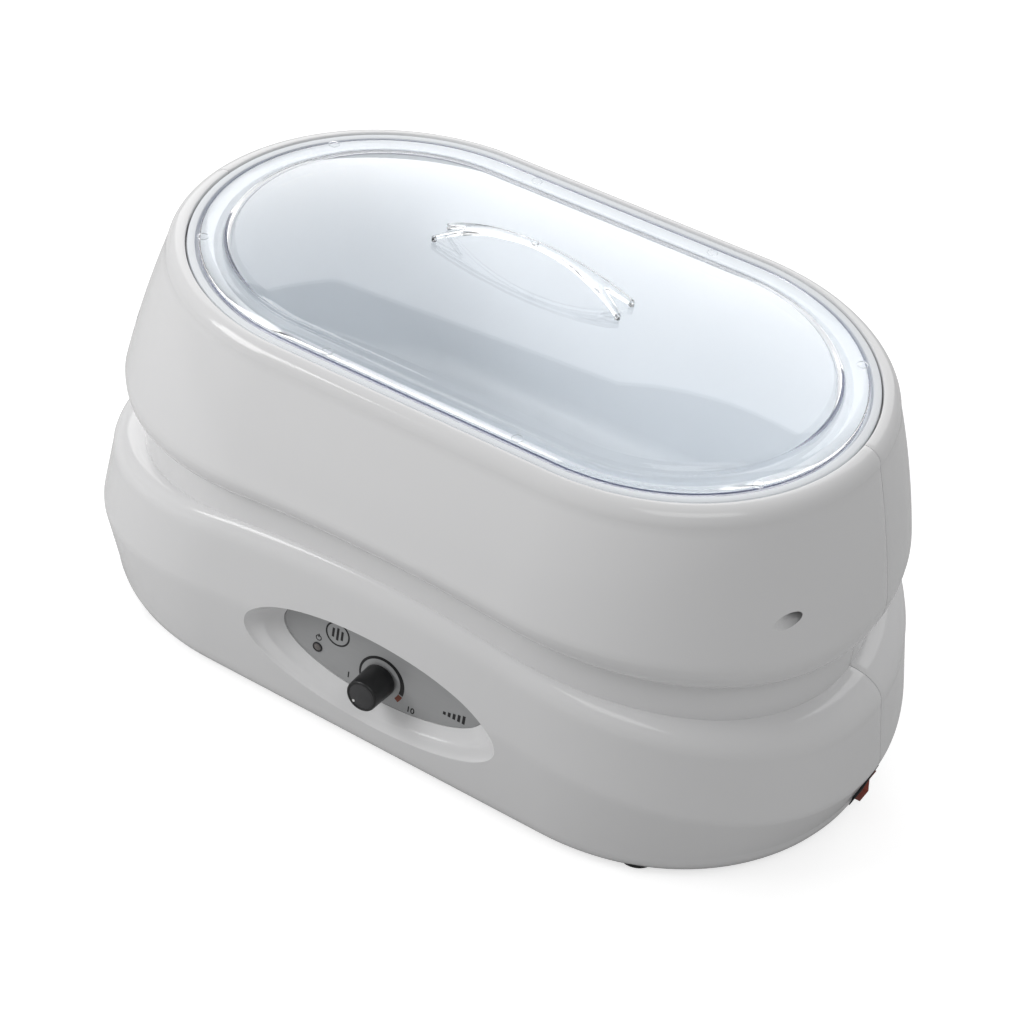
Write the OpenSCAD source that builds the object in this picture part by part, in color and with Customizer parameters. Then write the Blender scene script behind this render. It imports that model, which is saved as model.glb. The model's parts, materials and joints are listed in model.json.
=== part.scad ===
// Double wax warmer: a two-tier racetrack casing in two halves, a metal wax basin hung
// in its rim, a clear domed lid with a clip-in handle, and the heater and controls.
// X runs along the casing (the switch is at +X), -Y is the control side, Z is up from the feet.

/* [Rim and basin] */
// Half length of the straight sides
spine = 70; // [50:1:100]
// Radius of the casing rim at each end
rim_r = 100; // [94:0.5:108]
// Height of the casing rim above the table
rim_h = 205; // [195:1:220]
// Depth of the step in the rim that takes the basin flange
rim_step = 5.5; // [4.5:0.1:7]
// Width of the ledge under the basin flange
ledge_w = 10; // [6:0.5:14]
// Thickness of the basin gasket
gasket_t = 1; // [0.6:0.1:2]
// Sheet thickness of the basin
basin_t = 1.5; // [1:0.1:2.5]
// Depth of the basin below its flange
basin_depth = 122; // [90:1:130]
// Radius of the basin mouth
basin_r = 86; // [80:0.5:88]
// How much narrower the basin floor is than its mouth
basin_draft = 5; // [2:0.5:10]
// Corner radius round the basin floor
basin_fillet = 12; // [6:1:20]
// Width of the raised lip round the basin flange
lip_w = 4.2; // [3:0.1:5]

/* [Lid] */
// Thickness of the lid flange
lid_flange_t = 3; // [2:0.1:4]
// Wall of the domed panel
lid_t = 2.6; // [2:0.1:4]
// Radius at which the domed panel starts
lid_panel_r = 82; // [76:0.5:83]
// Height of the small step round the domed panel
lid_step = 2; // [1:0.1:4]
// Rise of the dome above the lid flange
lid_rise = 15; // [8:0.5:25]
// Depth of the locating rib under the lid
rib_depth = 6; // [3:0.5:10]
// Gap between the lid edge and the basin lip
lid_gap = 1.4; // [0.8:0.1:3]

/* [Lid handle] */
// Distance from the middle to the handle's feet
handle_half = 46; // [36:0.5:60]
// Height of the arch above its feet
handle_rise = 16; // [12:0.5:25]
// Thickness of the handle strip
handle_t = 2.8; // [2:0.1:4]
// Width of the strip at its middle
handle_waist_w = 7; // [5:0.5:10]
// Width of the strip across its feet
handle_foot_w = 17; // [12:0.5:24]
// Diameter of the pegs that clip into the lid
peg_d = 3; // [2:0.1:4]

/* [Casing] */
// Wall thickness of the casing
wall = 3; // [2:0.1:4]
// How far the rounded shoulder stands out from the rim
shoulder_out = 7.5; // [5:0.5:12]
// How far the rounded shoulder drops
shoulder_drop = 8; // [5:0.5:12]
// Widest radius of the upper tier
upper_r = 128.5; // [124:0.5:134]
// Height of the widest line of the upper tier, at the ends
upper_h = 127; // [120:1:135]
// Rise of that line at the middle of the long sides
upper_lift = 21; // [0:1:26]
// Bulge of the upper wall between its edges
upper_bulge = 1.2; // [0:0.1:3]
// Radius of the neck between the tiers
neck_r = 119; // [114:0.5:122]
// Height of the top of the neck, at the ends
neck_top_h = 107; // [104:1:110]
// Rise of the top of the neck at the middle of the long sides
neck_top_lift = 29; // [0:1:32]
// Height of the waist line where the lower tier starts, at the ends
waist_h = 83; // [78:1:88]
// Rise of the waist line at the middle of the long sides
waist_lift = 37; // [0:1:40]
// Radius of the lower tier under its shoulder
lower_r = 124.5; // [121:0.5:128]
// Height under the lower shoulder, at the ends
lower_h = 69; // [64:1:74]
// Rise of that line at the middle of the long sides
lower_lift = 39; // [0:1:42]
// Radius at the lower crease
crease_r = 124; // [121:0.5:128]
// Height of the lower crease, at the ends
crease_h = 34; // [28:1:42]
// Rise of the lower crease at the middle of the long sides
crease_lift = 38; // [0:1:42]
// Radius of the bottom edge
bottom_r = 108.5; // [105:0.5:114]
// Height of the bottom edge above the table
bottom_h = 3; // [2:0.5:5]
// How much longer the lower tier's straight sides are, at the bottom
bottom_stretch = 28; // [16:1:34]

/* [Base and feet] */
// Thickness of the base plate
plate_t = 3; // [2:0.5:4]
// Gap round the base plate
plate_gap = 0.6; // [0.3:0.1:1.5]
// Diameter of the rubber feet
foot_d = 20; // [14:1:24]
// Distance of the feet from the middle, along the casing
foot_x = 138; // [120:1:145]
// Distance of the feet from the middle, across the casing
foot_y = 90; // [80:1:92]

/* [Controls] */
// Height of the knob's axis at the label plate
panel_h = 49.5; // [47:0.5:52]
// Distance of the knob's axis to the right of the middle
panel_x = 3; // [0:0.5:6]
// Depth of the label plate behind the lower crease, at the knob
panel_depth = 15; // [14:0.5:17]
// Backward tilt of the label plate
panel_tilt = 6; // [0:1:8]
// Length of the label plate
label_l = 112; // [94:1:118]
// Height of the label plate
label_w = 42; // [36:1:46]
// Thickness of the label plate
label_t = 0.8; // [0.5:0.1:1.2]
// How far the label plate's middle is above the knob's axis
label_up = 8; // [0:0.5:10]
// Length of the recess round the label plate, at the casing's face
recess_l = 140; // [132:1:144]
// Height of the recess round the label plate, at the casing's face
recess_w = 62; // [58:1:64]
// How far the recess's middle is above the knob's axis
recess_up = 5; // [3:0.5:7]
// Diameter of the knob
knob_d = 17; // [14:0.5:20]
// Height of the knob
knob_h = 16; // [12:0.5:20]
// Diameter of the regulator's shaft
shaft_d = 6; // [5:0.5:6.5]
// Distance of the pilot light to the left of the knob
led_x = 36; // [26:0.5:40]
// Diameter of the pilot light
led_d = 4; // [3:0.5:5]

/* [Switch and inlet] */
// Width of the switch's cut-out
switch_w = 19.2; // [18:0.1:22]
// Height of the switch's cut-out
switch_l = 12.9; // [12:0.1:14]
// Height of the switch's centre
switch_h = 15.5; // [15:0.5:18]
// Distance of the mains inlet from the middle
inlet_x = 60; // [30:1:70]
// Height of the mains inlet
inlet_h = 38; // [34:1:44]

/* [Hidden] */
$fn = 64;
fit = 0.3;

// Casing lines: each ring is [half length of the straight, radius, height at the ends, lift].
arc_steps = 14;
side_steps = 8;
lower_stretch = bottom_stretch * 0.5;
crease_stretch = bottom_stretch * 0.78;
ring_rim = [spine, rim_r, rim_h, 0];
ring_shoulder = [spine + 2, rim_r + shoulder_out, rim_h - shoulder_drop, 0];
ring_upper = [spine, upper_r, upper_h, upper_lift];
ring_neck = [spine, neck_r - 0.5, neck_top_h, neck_top_lift];
ring_waist = [spine, neck_r + 0.5, waist_h, waist_lift];
ring_lower = [spine + lower_stretch, lower_r, lower_h, lower_lift];
ring_crease = [spine + crease_stretch, crease_r, crease_h, crease_lift];
ring_tuck = [spine + bottom_stretch * 0.9, bottom_r + 6.5, bottom_h + 11.5, 0];
ring_bottom = [spine + bottom_stretch, bottom_r, bottom_h, 0];

// Heights of what hangs in the rim.
ledge_h = rim_h - rim_step;
flange_h = ledge_h + gasket_t;
basin_seat_h = flange_h + basin_t;
lid_seat_h = basin_seat_h + 0.1;
lid_top = lid_seat_h + lid_flange_t;
lip_out = rim_r - 0.7;
lip_in = lip_out - lip_w;
lid_r = lip_in - lid_gap;
floor_in = basin_seat_h - basin_depth;
floor_out = floor_in - basin_t;
crown_h = lid_top + lid_rise;

// Base plate seat.
plate_h = bottom_h + 1;
plate_top = plate_h + plate_t;
seat_h = plate_top + 0.2;
base_half = spine + bottom_stretch;
plate_r = bottom_r - wall - plate_gap;
screw_xs = [-base_half, 0, base_half];
base_screw_y = plate_r - 6;
foot_barb_d = 8;
foot_barb_l = 2.5;

// Casing screws sit in deep wells in the front half.
well_inset = 23.5;
well_x = spine + upper_r - well_inset;
well_h = rim_h - 53;
well_d = 7.2;
casing_screw_d = 3.5;
well_floor = 12;
boss_d = 10;
boss_relief = 0.1;

function turn_x(v, a) = [v[0], v[1] * cos(a) - v[2] * sin(a), v[1] * sin(a) + v[2] * cos(a)];
function turn_y(v, a) = [v[0] * cos(a) + v[2] * sin(a), v[1], v[2] * cos(a) - v[0] * sin(a)];

// Panel frame: x along the casing, -y out of the panel, z up the panel.
panel_at = [panel_x, panel_depth - crease_r, panel_h];
module in_panel() translate(panel_at) rotate([-panel_tilt, 0, 0]) children();
function from_panel(v) = panel_at + turn_x(v, -panel_tilt);
label_face = label_t / 2;
pan_t = wall;
pan_back = pan_t + 0.1;
bush_d = 7;
regulator_d = 16.5;
regulator_l = 9;
regulator_tags = [-5, 0, 5];
tag_drop = 5;
led_pitch = 2.54;
led_legs = 8;

// Switch frame: x out of the casing end, y across it.
switch_tilt = 16;
switch_at = [ring_tuck[0] + ring_tuck[1] + 0.6, 0, switch_h];
module in_switch() translate(switch_at) rotate([0, switch_tilt, 0]) children();
function from_switch(v) = switch_at + turn_y(v, switch_tilt);
switch_depth = 14;
switch_tag_l = 7;
switch_tag_y = 5;

// Inlet frame: y out of the rear wall, square to it.
function side_h(ring, x) = ring[2] + ring[3] * (1 - pow(x / (ring[0] + ring[1]), 2));
crease_at_inlet = side_h(ring_crease, inlet_x);
inlet_share = (inlet_h - ring_tuck[2]) / (crease_at_inlet - ring_tuck[2]);
inlet_y = ring_tuck[1] + (ring_crease[1] - ring_tuck[1]) * inlet_share;
inlet_tilt = -atan((ring_crease[1] - ring_tuck[1]) / (crease_at_inlet - ring_tuck[2]));
inlet_at = [inlet_x, inlet_y, inlet_h];
module in_inlet() translate(inlet_at) rotate([inlet_tilt, 0, 0]) children();
function from_inlet(v) = inlet_at + turn_x(v, inlet_tilt);
inlet_depth = 16;
pin_places = [[-7, -2.5], [0, 2.5], [7, -2.5]];
pin_tail = 6;

// Heater stack below the basin floor.
film_t = 1.2;
pad_t = 8;
shield_t = 1.5;
film_h = floor_out - film_t;
pad_h = film_h - pad_t;
shield_h = pad_h - shield_t;
shield_r = 62;
cutout_x = 40;
probe_x = -40;
post_xs = [-spine, spine];
post_y = 44;
post_d = 8;

// Control board on its posts.
board = [76, 46, 1.6];
board_at = [-40, -66, plate_top + 9];
board_post_d = 6;

function mix(a, b, t) = a + (b - a) * t;
function swell(a, b, t, out) = mix(a, b, t) + [0, out * 4 * t * (1 - t), 0, 0];
// A quarter turn from ring a to ring b: out first, then down.
function turn_down(a, b, t) = [
    mix(a[0], b[0], sin(90 * t)), mix(a[1], b[1], sin(90 * t)),
    mix(b[2], a[2], cos(90 * t)), mix(b[3], a[3], cos(90 * t))];
// A quarter turn from ring a to ring b: down first, then in.
function turn_in(a, b, t) = [
    mix(b[0], a[0], cos(90 * t)), mix(b[1], a[1], cos(90 * t)),
    mix(a[2], b[2], sin(90 * t)), mix(a[3], b[3], sin(90 * t))];
function thinner_by(a, depth) = [a[0], a[1] - depth, a[2], a[3]];
function thinner(a) = thinner_by(a, wall);
quarter = [0.25, 0.5, 0.75, 1];

outer_rings = concat(
    [ring_rim],
    [for (t = quarter) turn_down(ring_rim, ring_shoulder, t)],
    [for (i = [1:6]) swell(ring_shoulder, ring_upper, i / 6, upper_bulge)],
    [for (t = quarter) turn_in(ring_upper, ring_neck, t)],
    [ring_waist],
    [for (t = quarter) turn_down(ring_waist, ring_lower, t)],
    [for (i = [1:3]) mix(ring_lower, ring_crease, i / 3)],
    [for (t = [0.5, 1]) mix(ring_crease, ring_tuck, t)],
    [mix(ring_tuck, ring_bottom, 0.55) + [0.6, 0.6, 0, 0], ring_bottom]);
seat_out = bottom_r - wall;
seat_in = seat_out - 4.5;
cavity_rings = [
    [spine, rim_r, rim_h + 1, 0],
    [spine, rim_r, ledge_h, 0],
    [spine, rim_r - ledge_w, ledge_h, 0],
    [spine, rim_r - ledge_w, ledge_h - wall, 0],
    [spine + 2, rim_r + shoulder_out - wall, ledge_h - wall, 0],
    thinner(ring_upper),
    thinner(ring_neck),
    thinner(ring_waist),
    thinner(ring_lower),
    thinner(ring_crease),
    thinner(ring_tuck),
    [base_half, seat_in, seat_h + 3, 0],
    [base_half, seat_in, seat_h, 0],
    [base_half, seat_out, seat_h, 0],
    [base_half, seat_out, bottom_h - 1, 0]];

// Half outline from the left end, round the front, to the right end, and past the parting
// plane by an angle at both: [end, angle] or [0, share of the straight].
function half_path(past) = concat(
    [for (i = [0:arc_steps]) [-1, 180 - past + (90 + past) * i / arc_steps]],
    [for (i = [1:side_steps - 1]) [0, -1 + 2 * i / side_steps]],
    [for (i = [0:arc_steps]) [1, 270 + (90 + past) * i / arc_steps]]);
function on_plan(ring, p) = p[0] == 0
    ? [ring[0] * p[1], -ring[1]]
    : [p[0] * ring[0] + ring[1] * cos(p[1]), ring[1] * sin(p[1])];
function on_ring(ring, p) = let (q = on_plan(ring, p))
    [q[0], q[1], ring[2] + ring[3] * (1 - pow(q[0] / (ring[0] + ring[1]), 2))];

// Solid front half through rings given from the top down.
module half_block(rings, past = 0) {
    path = half_path(past);
    m = len(rings);
    n = len(path);
    points = [for (p = path) for (ring = rings) on_ring(ring, p)];
    sides = [for (j = [0:n - 2]) for (i = [0:m - 2])
        let (a = j * m + i, b = a + 1, c = a + m, d = b + m)
        each [[a, c, b], [b, c, d]]];
    seam = [for (i = [0:m - 2]) [i, i + 1, (n - 1) * m + i + 1, (n - 1) * m + i]];
    ends = [[for (j = [n - 1:-1:0]) j * m], [for (j = [0:n - 1]) j * m + m - 1]];
    polyhedron(points, concat(sides, seam, ends), convexity = 10);
}

// A profile of [radius, height] points swept all round the racetrack.
module track(points, half = spine) {
    for (end = [-1, 1])
        translate([end * half, 0, 0])
            rotate([0, 0, end * 90 - 180])
                rotate_extrude(angle = 180, $fn = 128)
                    polygon(points);
    for (side = [-1, 1])
        scale([1, side, 1])
            translate([-half, 0, 0])
                rotate([90, 0, 90])
                    linear_extrude(2 * half)
                        polygon(points);
}

module racetrack(radius, height, half = spine) {
    for (end = [-1, 1])
        translate([end * half, 0, 0])
            cylinder(r = radius, h = height, $fn = 128);
    translate([-half, -radius, 0])
        cube([2 * half, 2 * radius, height]);
}

module oval_slab(length, width, at, thick, up = label_up) {
    steps = 72;
    translate([0, at + thick / 2, up])
        rotate([90, 0, 0])
            linear_extrude(thick)
                polygon([for (i = [0:steps - 1])
                    [length / 2 * cos(360 * i / steps), width / 2 * sin(360 * i / steps)]]);
}

// Bowl-shaped recess that widens towards the front, and with grow > 0 the pan that backs it.
// Its depth differs at the tips, the top and the foot, because the casing's wall leans.
recess_reach = 26;
tip_depth = panel_depth - 1;
top_depth = panel_depth + 4;
foot_depth = panel_depth - 10;
label_margin = 1;
module recess(grow = 0) {
    half_l = label_l / 2 + label_margin;
    half_w = label_w / 2 + label_margin;
    mouth_l = mix(half_l, recess_l / 2, recess_reach / tip_depth);
    mouth_top = mix(label_up + half_w, recess_up + recess_w / 2, recess_reach / top_depth);
    mouth_foot = mix(label_up - half_w, recess_up - recess_w / 2, recess_reach / foot_depth);
    hull() {
        oval_slab(2 * (half_l + grow), 2 * (half_w + grow), grow, 0.2);
        oval_slab(2 * (mouth_l + grow), mouth_top - mouth_foot + 2 * grow,
            grow - recess_reach, 0.2, (mouth_top + mouth_foot) / 2);
    }
}

// Solid block inside the lower tier's front wall, which the pan is cut to.
module skin_body() {
    depth = 1;
    half_block([thinner_by(ring_waist, depth), thinner_by(ring_lower, depth),
        thinner_by(ring_crease, depth), thinner_by(ring_tuck, depth)]);
}

module foot_notches() {
    for (side = [-1, 1])
        translate([side * foot_x, -foot_y, -1]) {
            cylinder(d = foot_d + 3, h = bottom_h + 5);
            cylinder(d = foot_barb_d + 1, h = plate_top + foot_barb_l + 2);
        }
}

module switch_cutout() {
    in_switch()
        cube([30, switch_w, switch_l], center = true);
}

// The cone keeps a boss inside the outer skin of the upper tier at one end.
module end_envelope(side) {
    translate([side * spine, 0, well_h - 8])
        cylinder(r1 = upper_r - 5.4, r2 = upper_r - 9.4, h = 16, $fn = 96);
}

module base_bosses() {
    difference() {
        for (x = screw_xs)
            translate([x, -base_screw_y, seat_h])
                cylinder(d = boss_d, h = 14);
        for (x = screw_xs)
            translate([x, -base_screw_y, 0])
                cylinder(d = 2.8, h = seat_h + 11);
    }
    for (x = screw_xs)
        translate([x - 1.5, -seat_out + 0.5, seat_h])
            cube([3, seat_out - base_screw_y - boss_d / 2 + 0.5, 3]);
}

// Casing half without its openings.
past_seam = 5;
module half_shell() {
    difference() {
        half_block(outer_rings);
        half_block(cavity_rings, past_seam);
    }
}

module front_casing() color("white") {
    difference() {
        union() {
            half_shell();
            intersection() {
                in_panel() recess(grow = pan_t);
                translate([-spine - 30, -crease_r + wall, seat_h + 1])
                    cube([2 * spine + 60, 60, neck_top_h - seat_h]);
                skin_body();
            }
            for (side = [-1, 1])
                intersection() {
                    translate([side * well_x, -boss_relief, well_h])
                        rotate([90, 0, 0])
                            cylinder(d = well_d + 5, h = 90);
                    end_envelope(side);
                }
            base_bosses();
        }
        in_panel() {
            recess();
            oval_slab(label_l + fit, label_w + fit, 0, label_t);
            rotate([90, 0, 0])
                cylinder(d = bush_d + 2 * fit, h = 40, center = true);
            translate([-led_x, 0, 0])
                rotate([90, 0, 0])
                    cylinder(d = led_d + 0.4, h = 40, center = true);
        }
        for (side = [-1, 1])
            translate([side * well_x, 0, well_h])
                rotate([90, 0, 0]) {
                    translate([0, 0, well_floor])
                        cylinder(d = well_d, h = 90);
                    translate([0, 0, -1])
                        cylinder(d = casing_screw_d + 0.4, h = 30);
                }
        foot_notches();
        switch_cutout();
    }
}

module rear_casing() color("white") {
    mirror([0, 1, 0])
        difference() {
            union() {
                half_shell();
                base_bosses();
            }
            foot_notches();
            switch_cutout();
            mirror([0, 1, 0])
                in_inlet()
                    cube([27.4, 40, 20], center = true);
        }
    for (side = [-1, 1])
        difference() {
            intersection() {
                union() {
                    translate([side * well_x, 22, well_h])
                        rotate([90, 0, 0])
                            cylinder(d = boss_d, h = 22 - boss_relief);
                    translate([side * (well_x + 10), 11 + boss_relief, well_h])
                        cube([20, 22 - boss_relief, 3], center = true);
                }
                end_envelope(side);
            }
            translate([side * well_x, 18, well_h])
                rotate([90, 0, 0])
                    cylinder(d = casing_screw_d - 0.1, h = 20);
        }
}

module base_plate() color("whitesmoke") {
    difference() {
        translate([0, 0, plate_h])
            racetrack(plate_r, plate_t, base_half);
        for (x = screw_xs, side = [-1, 1])
            translate([x, side * base_screw_y, 0])
                cylinder(d = casing_screw_d + 0.2, h = 20);
        for (end = [-1, 1], side = [-1, 1])
            translate([end * foot_x, side * foot_y, 0])
                cylinder(d = 6, h = 20);
        for (i = [-6:6])
            translate([i * 12 - 2, 14, 0])
                cube([4, 24, 20]);
    }
}

module rubber_feet() color([0.13, 0.13, 0.14])
    for (end = [-1, 1], side = [-1, 1])
        translate([end * foot_x, side * foot_y, 0]) {
            cylinder(d1 = foot_d - 2, d2 = foot_d, h = 1);
            translate([0, 0, 1])
                cylinder(d = foot_d, h = plate_h - 1);
            cylinder(d = 5.8, h = plate_top);
            translate([0, 0, plate_top])
                cylinder(d1 = foot_barb_d, d2 = 5.5, h = foot_barb_l);
        }

module pan_screw(d, length, head_d, head_h) {
    cylinder(d = d, h = length);
    translate([0, 0, -head_h])
        cylinder(d = head_d, h = head_h);
}

module casing_screws() color("silver")
    for (side = [-1, 1])
        translate([side * well_x, -well_floor, well_h])
            rotate([-90, 0, 0])
                pan_screw(casing_screw_d - 0.1, well_floor + 16, 6.4, 2.4);

module base_screws() color("silver")
    for (x = screw_xs, side = [-1, 1])
        translate([x, side * base_screw_y, plate_h])
            pan_screw(2.8, 13, 6, 1.8);

module basin() color([0.86, 0.89, 0.92]) {
    floor_r = basin_r - basin_draft;
    fillet_steps = 6;
    outer = [for (i = [0:fillet_steps])
        let (a = 90 * i / fillet_steps, f = basin_fillet + basin_t)
        [floor_r + basin_t - f + f * sin(a), floor_out + f - f * cos(a)]];
    inner = [for (i = [fillet_steps:-1:0])
        let (a = 90 * i / fillet_steps, f = basin_fillet)
        [floor_r - f + f * sin(a), floor_in + f - f * cos(a)]];
    track(concat([[0, floor_out]], outer,
        [[basin_r + basin_t, flange_h], [lip_out, flange_h], [lip_out, rim_h - 1.2],
         [lip_out - 0.8, rim_h - 0.4], [lip_in + 0.8, rim_h - 0.4], [lip_in, rim_h - 1.2],
         [lip_in, basin_seat_h], [basin_r, basin_seat_h]],
        inner, [[0, floor_in]]));
}

module basin_gasket() color([0.75, 0.76, 0.77])
    track([[rim_r - ledge_w + 0.8, ledge_h], [rim_r - 2.5, ledge_h],
           [rim_r - 2.5, flange_h], [rim_r - ledge_w + 0.8, flange_h]]);

// Height of the domed panel at a distance from the middle line.
function dome_h(r) = crown_h - (lid_rise - lid_step) * pow(r / lid_panel_r, 2);

module lid() color([0.8, 0.88, 0.96, 0.35]) {
    dome_steps = 10;
    top = [for (i = [dome_steps:-1:0])
        let (r = lid_panel_r * i / dome_steps) [r, dome_h(r)]];
    under = [for (i = [0:dome_steps])
        let (r = (lid_panel_r - lid_t) * i / dome_steps) [r, dome_h(r) - lid_t]];
    rib_out = basin_r - 1.6;
    difference() {
        track(concat(under,
            [[rib_out - 2.2, lid_seat_h - rib_depth], [rib_out, lid_seat_h - rib_depth],
             [rib_out, lid_seat_h], [lid_r - 0.5, lid_seat_h], [lid_r, lid_seat_h + 0.5],
             [lid_r, lid_top - 0.7], [lid_r - 0.7, lid_top], [lid_panel_r, lid_top]], top));
        for (end = [-1, 1], side = [-1, 1])
            translate([end * handle_half, side * (handle_foot_w / 2 - 3), crown_h - 12])
                cylinder(d = peg_d + 0.1, h = 20);
    }
}

// Arched strip with an hourglass plan and forked ends, on four pegs.
module lid_handle() color([0.85, 0.91, 0.97, 0.5]) {
    reach = handle_half + 4;
    arc_r = (pow(reach, 2) + pow(handle_rise, 2)) / (2 * handle_rise);
    flare = (handle_foot_w - handle_waist_w) / 2;
    flare_r = (pow(handle_half, 2) + pow(flare, 2)) / (2 * flare);
    foot_at = handle_foot_w / 2 - 3;
    intersection() {
        translate([0, 0, crown_h + handle_rise - arc_r])
            rotate([90, 0, 0])
                difference() {
                    cylinder(r = arc_r, h = 40, center = true, $fn = 180);
                    cylinder(r = arc_r - handle_t, h = 41, center = true, $fn = 180);
                }
        translate([0, 0, crown_h + 0.15])
            linear_extrude(40)
                difference() {
                    square([2 * reach, handle_foot_w], center = true);
                    for (side = [-1, 1])
                        translate([0, side * (handle_waist_w / 2 + flare_r)])
                            circle(r = flare_r, $fn = 240);
                    for (end = [-1, 1])
                        polygon([[end * (handle_half - 22), 0],
                            [end * (reach + 1), -handle_foot_w / 2 + 5],
                            [end * (reach + 1), handle_foot_w / 2 - 5]]);
                }
    }
    for (end = [-1, 1], side = [-1, 1])
        translate([end * handle_half, side * foot_at, dome_h(foot_at) - lid_t - 0.6])
            cylinder(d = peg_d, h = lid_t + 4);
}

module heater_film() color([0.72, 0.42, 0.2])
    translate([0, 0, film_h])
        racetrack(shield_r, film_t);

module pad_holes(extra = 0) {
    for (x = [cutout_x, probe_x])
        translate([x, 0, 0])
            cylinder(d = 18 + extra, h = rim_h);
}

module insulation_pad() color([0.88, 0.86, 0.8])
    difference() {
        translate([0, 0, pad_h])
            racetrack(shield_r, pad_t);
        pad_holes();
    }

module heat_shield() color([0.68, 0.7, 0.72])
    difference() {
        translate([0, 0, shield_h])
            racetrack(shield_r + 1.5, shield_t);
        pad_holes(1);
    }

module shield_posts() color("whitesmoke")
    for (x = post_xs, side = [-1, 1])
        translate([x, side * post_y, plate_top])
            cylinder(d = post_d, h = shield_h - plate_top);

module thermal_cutout() color([0.25, 0.22, 0.2])
    translate([cutout_x, 0, film_h - 5]) {
        cylinder(d = 16, h = 5);
        translate([0, 0, -7])
            cylinder(d = 12, h = 7);
        for (side = [-1, 1])
            translate([-0.4, side * 3.6 - 1.6, -14])
                cube([0.8, 3.2, 7]);
    }

module sensor_probe() color([0.8, 0.74, 0.5])
    translate([probe_x, 0, film_h - 6]) {
        cylinder(d = 10, h = 6);
        translate([0, 0, -4])
            cylinder(d = 6, h = 4);
    }

module label_plate() color([0.66, 0.67, 0.68])
    in_panel()
        difference() {
            oval_slab(label_l, label_w, 0, label_t);
            rotate([90, 0, 0])
                cylinder(d = bush_d + 2 * fit, h = 40, center = true);
            translate([-led_x, 0, 0])
                rotate([90, 0, 0])
                    cylinder(d = led_d + 0.4, h = 40, center = true);
        }

// Round shaft end with one flat side, from the base up.
module flatted(d, h) {
    difference() {
        cylinder(d = d, h = h);
        translate([d / 4, -d, -1])
            cube([d, 2 * d, h + 2]);
    }
}

module regulator_body() color([0.2, 0.2, 0.22])
    in_panel() {
        difference() {
            union() {
                translate([0, pan_back + 0.1, 0])
                    rotate([-90, 0, 0])
                        cylinder(d = regulator_d, h = regulator_l);
                translate([0, pan_back + 1, 0])
                    rotate([90, 0, 0])
                        cylinder(d = bush_d - 0.2, h = pan_back + label_face + 3.8);
            }
            translate([0, pan_back + 3, 0])
                rotate([90, 0, 0])
                    cylinder(d = shaft_d + 0.1, h = 40);
        }
        for (x = regulator_tags)
            translate([x - 0.6, pan_back + 4, -regulator_d / 2 - tag_drop])
                cube([1.2, 0.8, tag_drop + regulator_d / 4]);
    }

module regulator_nut() color("silver")
    in_panel()
        translate([0, -label_face - 0.1, 0])
            rotate([90, 0, 0])
                difference() {
                    cylinder(d = 11.5, h = 2, $fn = 6);
                    translate([0, 0, -1])
                        cylinder(d = bush_d, h = 5);
                }

knob_gap = 0.8;
knob_hollow = 3.4;

module regulator_shaft() color("silver")
    in_panel() {
        translate([0, pan_back + 2.8, 0])
            rotate([90, 0, 0])
                cylinder(d = shaft_d, h = pan_back + label_face + knob_gap + knob_hollow + 2.8);
        translate([0, 0.5 - label_face - knob_gap - knob_hollow, 0])
            rotate([90, 0, 0])
                flatted(shaft_d, knob_h - knob_hollow - 1.7);
    }

module knob() color([0.22, 0.22, 0.23])
    in_panel()
        translate([0, -label_face - knob_gap, 0])
            rotate([90, 0, 0])
                difference() {
                    union() {
                        cylinder(d1 = knob_d, d2 = knob_d - 0.8, h = knob_h - 1);
                        translate([0, 0, knob_h - 1])
                            cylinder(d1 = knob_d - 0.8, d2 = knob_d - 2.4, h = 1);
                    }
                    translate([0, 0, -1])
                        cylinder(d = bush_d + 6, h = knob_hollow + 1);
                    translate([0, 0, knob_hollow - 0.5])
                        flatted(shaft_d, knob_h - knob_hollow - 1.5);
                }

module pilot_light() color([0.75, 0.3, 0.25])
    in_panel()
        translate([-led_x, 0, 0]) {
            translate([0, pan_back + 1.5, 0])
                rotate([90, 0, 0])
                    cylinder(d = led_d, h = pan_back + 2.4);
            translate([0, pan_back + 1.6, 0])
                rotate([90, 0, 0])
                    cylinder(d = led_d + 2, h = 1.5);
            for (side = [-1, 1])
                translate([side * led_pitch / 2 - 0.25, pan_back + 1.5, -0.25])
                    cube([0.5, led_legs, 0.5]);
        }

pivot_x = -4;
rocker_w = switch_w - 3.4;
rocker_l = switch_l - 3.4;
rocker_swing = 9;
pivot_pin_d = 2;

module switch_frame() color([0.1, 0.1, 0.11])
    in_switch()
        difference() {
            union() {
                translate([0.2, -switch_w / 2 - 1.2, -switch_l / 2 - 1.1])
                    cube([1.8, switch_w + 2.4, switch_l + 2.2]);
                translate([-switch_depth, -switch_w / 2 + fit / 2, -switch_l / 2 + fit / 2])
                    cube([switch_depth + 0.5, switch_w - fit, switch_l - fit]);
            }
            translate([pivot_x - 5.5, -switch_w / 2 + 1.4, -switch_l / 2 + 1.4])
                cube([20, switch_w - 2.8, switch_l - 2.8]);
            translate([pivot_x, 0, -20])
                cylinder(d = pivot_pin_d + 0.06, h = 40);
        }

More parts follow.
